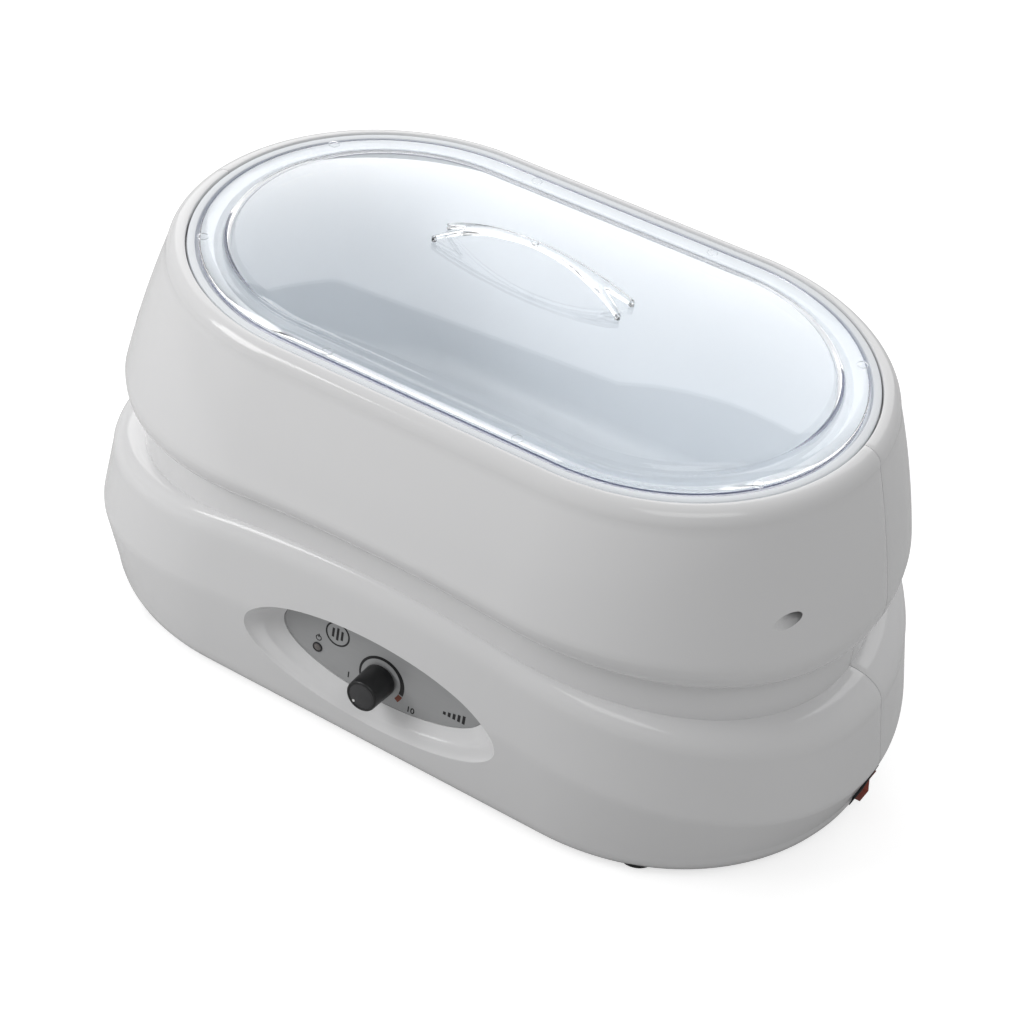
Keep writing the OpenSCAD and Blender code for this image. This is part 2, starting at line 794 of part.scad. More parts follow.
// The rocker pivots on a pin that runs up through the frame, and rests on one side.
module switch_rocker() color([0.62, 0.1, 0.04])
    in_switch()
        translate([pivot_x, 0, 0])
            rotate([0, 0, rocker_swing]) {
                translate([0, 0, -rocker_l / 2])
                    linear_extrude(rocker_l)
                        polygon([[-3.2, -3], [1.5, -rocker_w / 2 + 0.4],
                            [6.6, -rocker_w / 2 + 0.9], [5, 0], [6.6, rocker_w / 2 - 0.9],
                            [1.5, rocker_w / 2 - 0.4], [-3.2, 3]]);
                translate([0, 0, -switch_l / 2 + 0.4])
                    cylinder(d = pivot_pin_d, h = switch_l - 0.8);
            }

module switch_terminals() color([0.85, 0.75, 0.45])
    in_switch()
        for (side = [-1, 1])
            translate([-switch_depth - switch_tag_l, side * switch_tag_y - 2.4, -0.4])
                cube([switch_tag_l, 4.8, 0.8]);

module inlet_socket() color([0.1, 0.1, 0.11])
    in_inlet()
        difference() {
            union() {
                translate([-15.5, 0.2, -12])
                    cube([31, 2.4, 24]);
                translate([-13.5, -inlet_depth, -9.8])
                    cube([27, inlet_depth + 0.5, 19.6]);
            }
            translate([-12, 3 - inlet_depth, -8])
                cube([24, 20, 16]);
            inlet_pin_shapes();
        }

module inlet_pin_shapes() {
    for (p = pin_places)
        translate([p[0] - 1, -inlet_depth - pin_tail, p[1] - 2])
            cube([2, inlet_depth + pin_tail - 1, 4]);
}

module inlet_pins() color([0.85, 0.75, 0.45])
    in_inlet()
        inlet_pin_shapes();

module board_posts() color("whitesmoke")
    for (x = [5, board[0] - 5], y = [5, board[1] - 5])
        translate([board_at[0] + x, board_at[1] + y, plate_top])
            cylinder(d = board_post_d, h = board_at[2] - plate_top);

module control_board() color([0.1, 0.4, 0.2])
    translate(board_at)
        cube(board);

module board_parts() color([0.2, 0.25, 0.5])
    translate(board_at + [0, 0, board[2]]) {
        translate([8, 10, 0])
            cube([12, 9, 11]);
        translate([28, 12, 0])
            cylinder(d = 8, h = 12);
        translate([28, 26, 0])
            cylinder(d = 6.3, h = 11);
        translate([12, 33, 0])
            cube([10, 5, 6]);
        translate([60, 34, 0])
            cube([12, 8, 9]);
    }

module heat_sink() color([0.75, 0.76, 0.78])
    translate(board_at + [46, 10, board[2]]) {
        cube([20, 1.8, 22]);
        for (i = [0:4])
            translate([i * 4.5 + 0.1, 1.8, 0])
                cube([1.4, 8, 22]);
    }

// Round lead along a route, with rings square to it: straight at both ends, smooth between.
function unit(v) = v / norm(v);
function bend(p, i, t) = let (a = p[i - 1], b = p[i], c = p[i + 1], d = p[i + 2])
    0.5 * (2 * b + (c - a) * t + (2 * a - 5 * b + 4 * c - d) * t * t
        + (3 * b - a - 3 * c + d) * t * t * t);
function smoothed(p, steps = 3) = concat([p[0]],
    [for (i = [1:len(p) - 3], k = [0:steps - 1]) bend(p, i, k / steps)],
    [p[len(p) - 2], p[len(p) - 1]]);
function heading(p, i) = unit(
    (i == 0 ? [0, 0, 0] : unit(p[i] - p[i - 1])) +
    (i == len(p) - 1 ? [0, 0, 0] : unit(p[i + 1] - p[i])));
function across(t) = unit(cross(t, [0.31, 0.17, 0.93]));
module lead(route, d) {
    sides = 8;
    path = smoothed(route);
    count = len(path);
    points = [for (i = [0:count - 1])
        let (t = heading(path, i), u = across(t), v = cross(t, u))
        for (k = [0:sides - 1])
            path[i] + d / 2 * (cos(360 * k / sides) * u + sin(360 * k / sides) * v)];
    walls = [for (i = [0:count - 2], k = [0:sides - 1])
        let (a = i * sides + k, b = i * sides + (k + 1) % sides)
        each [[a, a + sides, b], [b, a + sides, b + sides]]];
    caps = [[for (k = [0:sides - 1]) k],
        [for (k = [sides - 1:-1:0]) (count - 1) * sides + k]];
    polyhedron(points, concat(walls, caps), convexity = 6);
}

// Leads end square on what they meet: tags, pins, or the top of the board.
mains_d = 2.6;
signal_d = 1.6;
board_top = board_at[2] + board[2];
function on_board(x, y) = [[x, y, board_top + 5], [x, y, board_top]];
function down_from(x, y, h, drop = 6) = [[x, y, h], [x, y, h - drop]];
function pin_end(i, out = 0) = from_inlet([pin_places[i][0], -inlet_depth - pin_tail - out,
    pin_places[i][1]]);
function switch_tag(side, out = 0) = from_switch(
    [-switch_depth - switch_tag_l - out, side * switch_tag_y, 0]);

module mains_leads() color([0.45, 0.25, 0.15]) {
    lead(concat([pin_end(2), pin_end(2, 5), [84, 82, 26], [130, 62, 16], [168, 26, 20]],
        [switch_tag(1, 6), switch_tag(1)]), mains_d);
    lead(concat([switch_tag(-1), switch_tag(-1, 6), [160, -22, 18], [110, -30, 17],
        [56, -32, 24], [38, -44, 28]], on_board(32, -52)), mains_d);
    lead(concat([pin_end(0), pin_end(0, 5), [50, 70, 30], [44, 30, 22], [20, -4, 25],
        [7, -19, 26]], on_board(5, -26)), mains_d);
    lead([pin_end(1), pin_end(1, 5), [58, 72, 52], [54, 60, 56], [52, 52, shield_h - 6],
        [52, 52, shield_h]], mains_d);
}

module heater_leads() color([0.85, 0.85, 0.82]) {
    cutout_tag_h = film_h - 19;
    lead(concat(down_from(probe_x - 7, 0, film_h, 16), [[-47, -6, 42], [-42, -18, 30]],
        on_board(-35, -24)), mains_d);
    lead(concat(down_from(probe_x + 7, 0, film_h, 16), [[-20, 8, 51], [16, 10, 48], [36, 6, 47]],
        [[cutout_x, 3.6, cutout_tag_h - 6], [cutout_x, 3.6, cutout_tag_h]]), mains_d);
    lead(concat(down_from(cutout_x, -3.6, cutout_tag_h), [[36, -12, 38], [20, -24, 28]],
        on_board(15, -26)), mains_d);
}

module signal_leads() color([0.2, 0.25, 0.6]) {
    for (x = regulator_tags)
        lead(concat([from_panel([x, pan_back + 4.4, -regulator_d / 2 - tag_drop]),
            from_panel([x, pan_back + 4.4, -regulator_d / 2 - tag_drop - 3]),
            [panel_x + x, -90, 24], [panel_x + x, -72, 24]],
            on_board(x - 2, -61)), signal_d);
    for (side = [-1, 1])
        lead(concat([from_panel([side * led_pitch / 2 - led_x, pan_back + 1.5 + led_legs, 0]),
            from_panel([side * led_pitch / 2 - led_x, pan_back + 5 + led_legs, 0]),
            [panel_x - led_x + side * 2, -78, 36]],
            on_board(panel_x - led_x + side * 1.6, -61)), signal_d);
    for (side = [-1, 1])
        lead(concat(down_from(probe_x, side * 1.2, film_h - 10, 8),
            [[probe_x + 5, side * 1.4 - 8, 42]], on_board(side * 1.6 - 24, -24)), signal_d);
}

front_casing();
rear_casing();
base_plate();
rubber_feet();
casing_screws();
base_screws();
basin();
basin_gasket();
lid();
lid_handle();
heater_film();
insulation_pad();
heat_shield();
shield_posts();
thermal_cutout();
sensor_probe();
label_plate();
regulator_body();
regulator_nut();
regulator_shaft();
knob();
pilot_light();
switch_frame();
switch_rocker();
switch_terminals();
inlet_socket();
inlet_pins();
board_posts();
control_board();
board_parts();
heat_sink();
mains_leads();
heater_leads();
signal_leads();
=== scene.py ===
"""Looks of the double wax warmer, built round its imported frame.

All sizes are in metres, in the frame's own axes: the controls face -Y, the switch is at +X.
"""
import json
import math

import bmesh
import bpy
from bpy.props import FloatProperty, FloatVectorProperty, IntProperty, PointerProperty
from mathutils import Matrix, Vector

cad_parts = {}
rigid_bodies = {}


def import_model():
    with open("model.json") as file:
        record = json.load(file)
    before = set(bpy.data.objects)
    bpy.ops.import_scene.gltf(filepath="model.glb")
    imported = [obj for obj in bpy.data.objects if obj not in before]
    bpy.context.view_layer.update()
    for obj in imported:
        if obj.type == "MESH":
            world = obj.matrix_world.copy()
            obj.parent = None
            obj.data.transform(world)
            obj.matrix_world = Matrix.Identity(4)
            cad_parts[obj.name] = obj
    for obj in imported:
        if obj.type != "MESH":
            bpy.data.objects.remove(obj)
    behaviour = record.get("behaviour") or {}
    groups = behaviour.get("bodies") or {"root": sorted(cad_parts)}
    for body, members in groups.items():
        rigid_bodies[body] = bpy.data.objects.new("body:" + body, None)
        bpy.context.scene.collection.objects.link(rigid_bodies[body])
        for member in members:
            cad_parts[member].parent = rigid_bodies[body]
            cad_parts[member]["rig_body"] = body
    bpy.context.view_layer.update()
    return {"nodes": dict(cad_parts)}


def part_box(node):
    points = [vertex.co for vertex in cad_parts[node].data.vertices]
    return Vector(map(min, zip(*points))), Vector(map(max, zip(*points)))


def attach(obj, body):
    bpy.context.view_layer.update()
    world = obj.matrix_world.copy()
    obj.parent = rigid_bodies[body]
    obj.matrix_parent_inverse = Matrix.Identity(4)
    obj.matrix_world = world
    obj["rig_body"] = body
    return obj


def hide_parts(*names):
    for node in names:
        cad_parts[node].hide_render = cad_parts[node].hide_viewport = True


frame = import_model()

bl_info = {
    "name": "Double wax warmer",
    "version": (1, 0, 0),
    "blender": (4, 5, 0),
    "location": "3D View > Sidebar > Warmer",
    "description": "Builds the visible pieces of a double wax warmer round its frame",
    "category": "Object",
}

MM = 0.001
CASING_SCREW_HEAD = 3.2 * MM
BASE_SCREW_HEAD = 3 * MM
SHAFT_HOLE = 3.8 * MM
LIGHT_HOLE = 2.2 * MM
FOOT_RADIUS = 10 * MM


def size(name, description, default):
    """A length in millimetres as a property in metres."""
    return FloatProperty(name=name, description=description, default=default * MM, unit="LENGTH")


def colour(name, description, default):
    return FloatVectorProperty(name=name, description=description, default=default, size=3,
                               min=0, max=1, subtype="COLOR")


class WarmerCasing(bpy.types.PropertyGroup):
    """Sizes of the two-tier casing."""
    spine: size("Spine", "Half length of the straight sides", 70)
    rim_radius: size("Rim radius", "Radius of the rim at each end", 100)
    rim_height: size("Rim height", "Height of the rim above the table", 205)
    rim_step: size("Rim step", "Depth of the step under the basin's flange", 5.5)
    rim_round: size("Rim round", "Rounding of the rim's inner edge", 0.6)
    ledge_width: size("Ledge width", "Width of the ledge under the basin's flange", 10)
    wall: size("Wall", "Thickness of the moulded wall", 3)
    seam_gap: size("Seam gap", "Gap between the two halves", 0.36)
    seam_round: size("Seam round", "Rounding of the halves' edges at the seam", 0.3)
    bottom_stretch: size("Bottom stretch", "How much longer the bottom's straight sides are", 28)
    bulge: size("Bulge", "Bulge of the upper wall", 1.2)
    arc_steps: IntProperty(name="Arc steps", description="Faces round each end", default=96)
    side_steps: IntProperty(name="Side steps", description="Faces along each side", default=72)


class WarmerPanel(bpy.types.PropertyGroup):
    """Sizes of the control panel."""
    lean: FloatProperty(name="Lean", description="Backward tilt of the label plate",
                        default=math.radians(6), subtype="ANGLE", unit="ROTATION")
    label_length: size("Label length", "Length of the label plate", 112)
    label_width: size("Label width", "Height of the label plate", 42)
    label_up: size("Label up", "Height of the label's middle above the knob's axis", 8)
    label_thickness: size("Label thickness", "Thickness of the label plate", 0.8)
    recess_length: size("Recess length", "Length of the recess at the casing's face", 140)
    recess_width: size("Recess width", "Height of the recess at the casing's face", 62)
    recess_up: size("Recess up", "Height of the recess's middle above the knob's axis", 5)
    light_out: size("Pilot light place", "Distance of the pilot light to the left of the knob", 36)
    dial_radius: size("Dial radius", "Radius of the printed dial arc", 11.0)


class WarmerLid(bpy.types.PropertyGroup):
    """Sizes of the lid and its handle."""
    flange: size("Flange", "Thickness of the flange", 3)
    wall: size("Wall", "Thickness of the domed panel", 2.6)
    panel_radius: size("Panel radius", "Radius at which the domed panel starts", 82)
    step: size("Step", "Height of the step round the panel", 2)
    rise: size("Rise", "Rise of the dome above the flange", 15)
    mark_radius: size("Ejector mark", "Radius of the ejector marks on the flange", 2.5)


class WarmerHandle(bpy.types.PropertyGroup):
    """Sizes of the handle on the lid."""
    half_span: size("Half span", "Distance from the middle to each foot", 49)
    rise: size("Rise", "Height of the arch above the lid's crown", 16)
    thickness: size("Thickness", "Thickness of the strip", 1.8)
    waist_width: size("Waist width", "Width of the strip at the middle", 4.4)
    foot_width: size("Foot width", "Width across the two prongs at each end", 16)
    fork: size("Fork", "Length of the notch between the prongs", 12)
    prong: size("Prong", "Half width of each prong at its end", 1.5)


class WarmerFinish(bpy.types.PropertyGroup):
    """Colours of the main finishes."""
    casing: colour("Casing", "White plastic of the casing", (0.80, 0.80, 0.805))
    basin: colour("Basin", "Pale enamel of the basin", (0.78, 0.81, 0.84))
    clear: colour("Lid", "Tint of the clear lid", (0.985, 0.99, 0.995))
    label: colour("Label", "Silver of the label plate", (0.43, 0.435, 0.44))
    knob: colour("Knob", "Dark grey of the knob", (0.011, 0.0112, 0.012))
    rocker: colour("Rocker", "Red of the switch rocker", (0.24, 0.028, 0.008))


# Casing rings, each (half length of the straight, radius, height at the ends, lift of the middle).
def casing_rings(casing):
    spine, rim, top = casing.spine, casing.rim_radius, casing.rim_height
    stretch = casing.bottom_stretch
    return {
        "rim": (spine, rim + casing.rim_round, top, 0),
        "shoulder": (spine + 2 * MM, rim + 7.5 * MM, top - 8 * MM, 0),
        "upper": (spine, 128.5 * MM, 127 * MM, 21 * MM),
        "neck": (spine, 118.5 * MM, 107 * MM, 29 * MM),
        "waist": (spine, 119.5 * MM, 83 * MM, 37 * MM),
        "lower": (spine + stretch * 0.5, 124.5 * MM, 69 * MM, 39 * MM),
        "crease": (spine + stretch * 0.78, 124 * MM, 34 * MM, 38 * MM),
        "tuck": (spine + stretch * 0.9, 115 * MM, 14.5 * MM, 0),
        "bottom": (spine + stretch, 108.5 * MM, 3 * MM, 0),
    }


def mix(a, b, t):
    return a + (b - a) * t


def mixed(a, b, t):
    return tuple(mix(p, q, t) for p, q in zip(a, b))


def out_then_down(a, b, steps):
    """Rings of a quarter turn from a to b that leaves a level."""
    turns = [math.pi / 2 * i / steps for i in range(1, steps + 1)]
    return [(mix(a[0], b[0], math.sin(t)), mix(a[1], b[1], math.sin(t)),
             mix(b[2], a[2], math.cos(t)), mix(b[3], a[3], math.cos(t))) for t in turns]


def down_then_in(a, b, steps):
    """Rings of a quarter turn from a to b that leaves a upright."""
    turns = [math.pi / 2 * i / steps for i in range(1, steps + 1)]
    return [(mix(b[0], a[0], math.cos(t)), mix(b[1], a[1], math.cos(t)),
             mix(a[2], b[2], math.sin(t)), mix(a[3], b[3], math.sin(t))) for t in turns]


def straight(a, b, steps, bulge=0):
    """Rings from a to b, with an optional bulge of the radius in between."""
    shares = [i / steps for i in range(1, steps + 1)]
    rings = [mixed(a, b, t) for t in shares]
    return [(r[0], r[1] + bulge * 4 * t * (1 - t), r[2], r[3]) for r, t in zip(rings, shares)]


def thinned(ring, depth):
    return (ring[0], ring[1] - depth, ring[2], ring[3])


def columns_round(arc_steps, side_steps):
    """Places round a racetrack: ("end", side, angle) or ("side", side, share of the straight)."""
    def arc(side, start):
        return [("end", side, math.radians(start + 180 * i / arc_steps)) for i in range(arc_steps + 1)]

    def edge(side, start):
        return [("side", side, start * (1 - 2 * i / side_steps)) for i in range(1, side_steps)]

    return arc(1, -90) + edge(1, 1) + arc(-1, 90) + edge(-1, -1)


def ring_point(ring, column):
    half, radius, height, lift = ring
    kind, side, value = column
    if kind == "end":
        x, y = side * half + radius * math.cos(value), radius * math.sin(value)
    else:
        x, y = half * value, side * radius
    return Vector((x, y, height + lift * (1 - (x / (half + radius)) ** 2)))


def only(kind, items):
    return [item for item in items if isinstance(item, kind)]


def extruded(bm, edges, place):
    """Extrudes the edges once, moves each new vertex to place(vertex) and returns the new edges."""
    made = bmesh.ops.extrude_edge_only(bm, edges=edges)["geom"]
    verts = set(only(bmesh.types.BMVert, made))
    for vert in verts:
        vert.co = place(vert)
    return [e for e in only(bmesh.types.BMEdge, made) if e.verts[0] in verts and e.verts[1] in verts]


def lofted(rings, columns, closed=True):
    """A band through the rings, closed back to the first: each vertex carries its column and row."""
    bm = bmesh.new()
    column_of = bm.verts.layers.int.new("column")
    row_of = bm.verts.layers.int.new("row")
    bm.verts.layers.int.new("spot")
    first = bmesh.ops.create_circle(bm, segments=len(columns), radius=1)["verts"]
    for index, vert in enumerate(first):
        vert[column_of] = index
        vert.co = ring_point(rings[0], columns[index])
    edges = bm.edges[:]
    for row, ring in enumerate(rings[1:] + (rings[:1] if closed else []), 1):
        def place(vert):
            vert[row_of] = row
            return ring_point(ring, columns[vert[column_of]])
        edges = extruded(bm, edges, place)
    bmesh.ops.remove_doubles(bm, verts=bm.verts, dist=0.001 * MM)
    return bm


def placed(bm, matrix):
    bmesh.ops.transform(bm, matrix=matrix, verts=bm.verts)


def joined(first, *others):
    """Adds the other meshes to the first."""
    for other in others:
        mesh = bpy.data.meshes.new("part")
        other.to_mesh(mesh)
        other.free()
        first.from_mesh(mesh)
        bpy.data.meshes.remove(mesh)
    return first


def cylinder(radius, start, end, segments=48, radius_end=None):
    """A closed cylinder or cone from start to end."""
    axis = Vector(end) - Vector(start)
    bm = bmesh.new()
    bmesh.ops.create_cone(bm, cap_ends=True, segments=segments, radius1=radius,
                          radius2=radius if radius_end is None else radius_end, depth=axis.length)
    middle = (Vector(start) + Vector(end)) / 2
    placed(bm, Matrix.Translation(middle) @ axis.to_track_quat("Z", "Y").to_matrix().to_4x4())
    return bm


def block(low, high):
    """A closed box between two corners."""
    bm = bmesh.new()
    bmesh.ops.create_cube(bm, size=1)
    low, high = Vector(low), Vector(high)
    placed(bm, Matrix.Translation((low + high) / 2) @ Matrix.Diagonal((*(high - low), 1)))
    return bm


def turned(profile, segments=96):
    """A closed profile of (radius, height) points spun round Z."""
    bm = bmesh.new()
    verts = [bm.verts.new((r, 0, z)) for r, z in profile]
    edges = [bm.edges.new(pair) for pair in zip(verts, verts[1:])]
    bmesh.ops.spin(bm, geom=verts + edges, axis=(0, 0, 1), cent=(0, 0, 0), angle=math.tau,
                   steps=segments, use_merge=True)
    bmesh.ops.remove_doubles(bm, verts=bm.verts, dist=0.005 * MM)
    bmesh.ops.recalc_face_normals(bm, faces=bm.faces)
    return bm


def around(radius, height, *steps):
    """Points of a profile, each given in millimetres from one point of it."""
    return [(radius + r * MM, height + z * MM) for r, z in steps]


def bevelled(bm, width, sharper_than=30, segments=2):
    """Rounds every edge that turns more than an angle."""
    limit = math.radians(sharper_than)
    edges = [e for e in bm.edges if e.is_manifold and e.calc_face_angle(0) > limit]
    bmesh.ops.bevel(bm, geom=edges, offset=width, affect="EDGES", segments=segments,
                    profile=0.5, material=-1, clamp_overlap=True)
    return bm


def node_copy(node):
    """The merged mesh of a CAD node, with its flat faces whole."""
    bm = bmesh.new()
    bm.from_mesh(frame["nodes"][node].data)
    bmesh.ops.remove_doubles(bm, verts=bm.verts, dist=0.002 * MM)
    bmesh.ops.dissolve_limit(bm, angle_limit=math.radians(0.5), verts=bm.verts, edges=bm.edges)
    return bm


def made_piece(name, bm, finish, node, replaces=True, sharp=35):
    """Turns a bmesh into a piece that rides with a CAD node, and stands for it if it replaces it."""
    mesh = bpy.data.meshes.new(name)
    bm.to_mesh(mesh)
    bm.free()
    mesh.shade_smooth()
    mesh.set_sharp_from_angle(angle=math.radians(sharp))
    mesh.materials.append(finish)
    piece = bpy.data.objects.new(name, mesh)
    bpy.context.scene.collection.objects.link(piece)
    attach(piece, frame["nodes"][node]["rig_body"])
    if replaces:
        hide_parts(node)


def cut_mesh(bm, operation, *tools):
    """The bmesh after a Boolean with the tools' meshes."""
    objects = []
    for name, source in (("work", bm), ("tool", joined(*tools))):
        mesh = bpy.data.meshes.new(name)
        source.to_mesh(mesh)
        source.free()
        objects.append(bpy.data.objects.new(name, mesh))
        bpy.context.scene.collection.objects.link(objects[-1])
    work, tool = objects
    boolean = work.modifiers.new("cut", "BOOLEAN")
    boolean.operation = operation
    boolean.object = tool
    boolean.solver = "EXACT"
    bpy.context.view_layer.update()
    result = bmesh.new()
    result.from_object(work, bpy.context.evaluated_depsgraph_get())
    for item in objects:
        mesh = item.data
        bpy.data.objects.remove(item)
        bpy.data.meshes.remove(mesh)
    return result


class Panel:
    """The label plate's own axes: u along the casing, w up the plate and h out of it."""

    def __init__(self, sizes, casing):
        low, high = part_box("label_plate")
        lean = sizes.lean
        self.across = Vector((1, 0, 0))
        self.out = Vector((0, -math.cos(lean), math.sin(lean)))
        self.up = Vector((0, math.sin(lean), math.cos(lean)))
        middle = (low + high) / 2
        self.origin = middle - self.up * sizes.label_up
        self.turn = Matrix((self.across, self.up, self.out)).transposed().to_4x4()
        rings = casing_rings(casing)
        self.rows = lower_rows(rings)

    def point(self, u, w, h):
        return self.origin + self.across * u + self.up * w + self.out * h

    def matrix(self, u=0, w=0, h=0):
        """Places a mesh that is made with its face in XY and Z out of the panel."""
        return Matrix.Translation(self.point(u, w, h)) @ self.turn

    def wall_height(self, u, w, depth):
        """Height of the casing's wall above the plate, measured out of the plate."""
        height = 0.014
        for _ in range(5):
            spot = self.point(u, w, height)
            radius = wall_radius(self.rows, spot.x, spot.z) - depth
            height = (self.point(u, w, 0).y + radius) / -self.out.y
        return height


LOWER_STEPS = 13
CREASE_STEPS = 8
TUCK_STEPS = 18
CREASE_SHARE = 0.09


def lower_rows(rings):
    """Rings of the lower tier's wall, from under its shoulder down to the tuck."""
    above = mixed(rings["lower"], rings["crease"], 1 - CREASE_SHARE)
    below = mixed(rings["crease"], rings["tuck"], CREASE_SHARE)
    steps = [i / CREASE_STEPS for i in range(1, CREASE_STEPS + 1)]
    fold = [mixed(mixed(above, rings["crease"], t), mixed(rings["crease"], below, t), t)
            for t in steps]
    return ([rings["lower"]] + straight(rings["lower"], above, LOWER_STEPS) + fold
            + straight(below, rings["tuck"], TUCK_STEPS))


def upper_rows(casing, rings):
    """Rings of the upper tier's wall, from the rim down to its widest ring."""
    return (out_then_down(rings["rim"], rings["shoulder"], 12)
            + straight(rings["shoulder"], rings["upper"], 18, casing.bulge))


def wall_radius(rows, x, z):
    heights = [r[2] + r[3] * (1 - (x / (r[0] + r[1])) ** 2) for r in rows]
    for above, below, top, low in zip(rows, rows[1:], heights, heights[1:]):
        if z >= low or below is rows[-1]:
            share = (top - z) / (top - low)
            return mix(above[1], below[1], share)
    return rows[-1][1]


# Sections of the recess from its lip (0) to the label's edge (1): share of the way, share of the
# depth where the foot has its two ledges, and where the top and the tips run straight in.
RECESS_SECTION = (
    (0.00, 0.985, 0.985), (0.02, 0.955, 0.96), (0.05, 0.90, 0.925), (0.10, 0.84, 0.87),
    (0.18, 0.79, 0.79), (0.28, 0.745, 0.68), (0.38, 0.705, 0.57), (0.45, 0.67, 0.49),
    (0.49, 0.635, 0.45), (0.52, 0.58, 0.42), (0.56, 0.50, 0.385), (0.62, 0.41, 0.33),
    (0.70, 0.32, 0.26), (0.80, 0.22, 0.175), (0.90, 0.125, 0.095), (0.96, 0.07, 0.055),
    (1.00, 0.04, 0.035))
LEDGE_BLEND = (-0.15, 0.45)
SKIRT = (0.14, 0.28, 0.42, 0.56, 0.69, 0.80, 0.89, 0.95, 0.985)
RECESS_REACH = 6 * MM
LABEL_GAP = 0.15 * MM


def smooth_step(low, high, value):
    t = min(1, max(0, (value - low) / (high - low)))
    return t * t * (3 - 2 * t)


def opened_block(bm, rows, columns):
    """Removes the wall's faces in front of the recess and returns the edges round the opening."""
    row_of = bm.verts.layers.int["row"]
    column_of = bm.verts.layers.int["column"]

    def inside(vert):
        return vert[row_of] in rows and vert[column_of] in columns

    opened = set(f for f in bm.faces if all(inside(v) for v in f.verts))
    around = [e for e in bm.edges if sum(f in opened for f in e.link_faces) == 1]
    bmesh.ops.delete(bm, geom=list(opened), context="FACES_ONLY")
    bmesh.ops.delete(bm, geom=[e for e in bm.edges if not e.link_faces], context="EDGES_FACES")
    bmesh.ops.delete(bm, geom=[v for v in bm.verts if not v.link_edges], context="VERTS")
    return around


def rows_in_front(panel, sizes, rows, first, last, margin):
    """The rows whose middle lies in front of the recess."""
    reach = sizes.recess_width / 2 + RECESS_REACH + margin
    middle = panel.origin.z + sizes.recess_up
    return set(i for i in range(first, last) if abs(rows[i][2] + rows[i][3] - middle) < reach)


def columns_in_front(panel, sizes, half, columns, margin):
    """The columns of the front side that lie in front of the recess."""
    reach = sizes.recess_length / 2 + RECESS_REACH + margin
    return set(i for i, (kind, side, share) in enumerate(columns)
               if kind == "side" and side < 0 and abs(half * share - panel.origin.x) < reach)


def sink_recess(bm, panel, sizes, opening, depth):
    """Opens the wall in front of the label and runs it in to the label's plane."""
    edges = opened_block(bm, *opening)
    spot_of = bm.verts.layers.int["spot"]
    lip_l, lip_w = sizes.recess_length / 2 + depth, sizes.recess_width / 2 + depth
    label_l = sizes.label_length / 2 + LABEL_GAP + depth
    label_w = sizes.label_width / 2 + LABEL_GAP + depth
    spots = []
    for index, vert in enumerate(set(v for e in edges for v in e.verts)):
        offset = vert.co - panel.origin
        u, w = offset.dot(panel.across), offset.dot(panel.up)
        turn = math.atan2((w - sizes.recess_up) / lip_w, u / lip_l)
        across, rise = math.cos(turn), math.sin(turn)
        lip = (lip_l * across, sizes.recess_up + lip_w * rise)
        label = (label_l * across, sizes.label_up + label_w * rise)
        vert[spot_of] = index
        spots.append(((u, w), lip, label, panel.wall_height(*lip, depth),
                      smooth_step(*LEDGE_BLEND, -rise)))

    for share in SKIRT:
        def on_wall(vert):
            start, lip = spots[vert[spot_of]][:2]
            u, w = mixed(start, lip, share)
            return panel.point(u, w, panel.wall_height(u, w, depth))
        edges = extruded(bm, edges, on_wall)
    face = sizes.label_thickness / 2
    for share, ledged, plain in RECESS_SECTION:
        def in_bowl(vert):
            _, lip, label, high, ledge = spots[vert[spot_of]]
            height = (high + depth - face) * mix(plain, ledged, ledge)
            return panel.point(*mixed(lip, label, share), face - depth + height)
        edges = extruded(bm, edges, in_bowl)
    edges = extruded(bm, edges, lambda v: panel.point(*spots[v[spot_of]][2], -face - depth))
    bmesh.ops.edgeloop_fill(bm, edges=edges)


def cut_off(bm, place, normal):
    """Removes what lies past a plane, closes the cut and returns the closing faces."""
    cut = bmesh.ops.bisect_plane(bm, geom=bm.verts[:] + bm.edges[:] + bm.faces[:],
                                 plane_co=place, plane_no=normal, clear_outer=True)
    edges = only(bmesh.types.BMEdge, cut["geom_cut"])
    caps = bmesh.ops.holes_fill(bm, edges=edges, sides=0)["faces"]
    bmesh.ops.recalc_face_normals(bm, faces=bm.faces)
    return caps


def half_of(bm, side, gap, rounding):
    """One half of the casing: cut at the seam, closed there, with a fine rounding."""
    caps = cut_off(bm, (0, side * gap / 2, 0), (0, -side, 0))
    rim = list(set(e for f in caps for e in f.edges))
    bmesh.ops.bevel(bm, geom=rim, offset=rounding, affect="EDGES", segments=2, profile=0.5,
                    material=-1, clamp_overlap=True)
    return bm


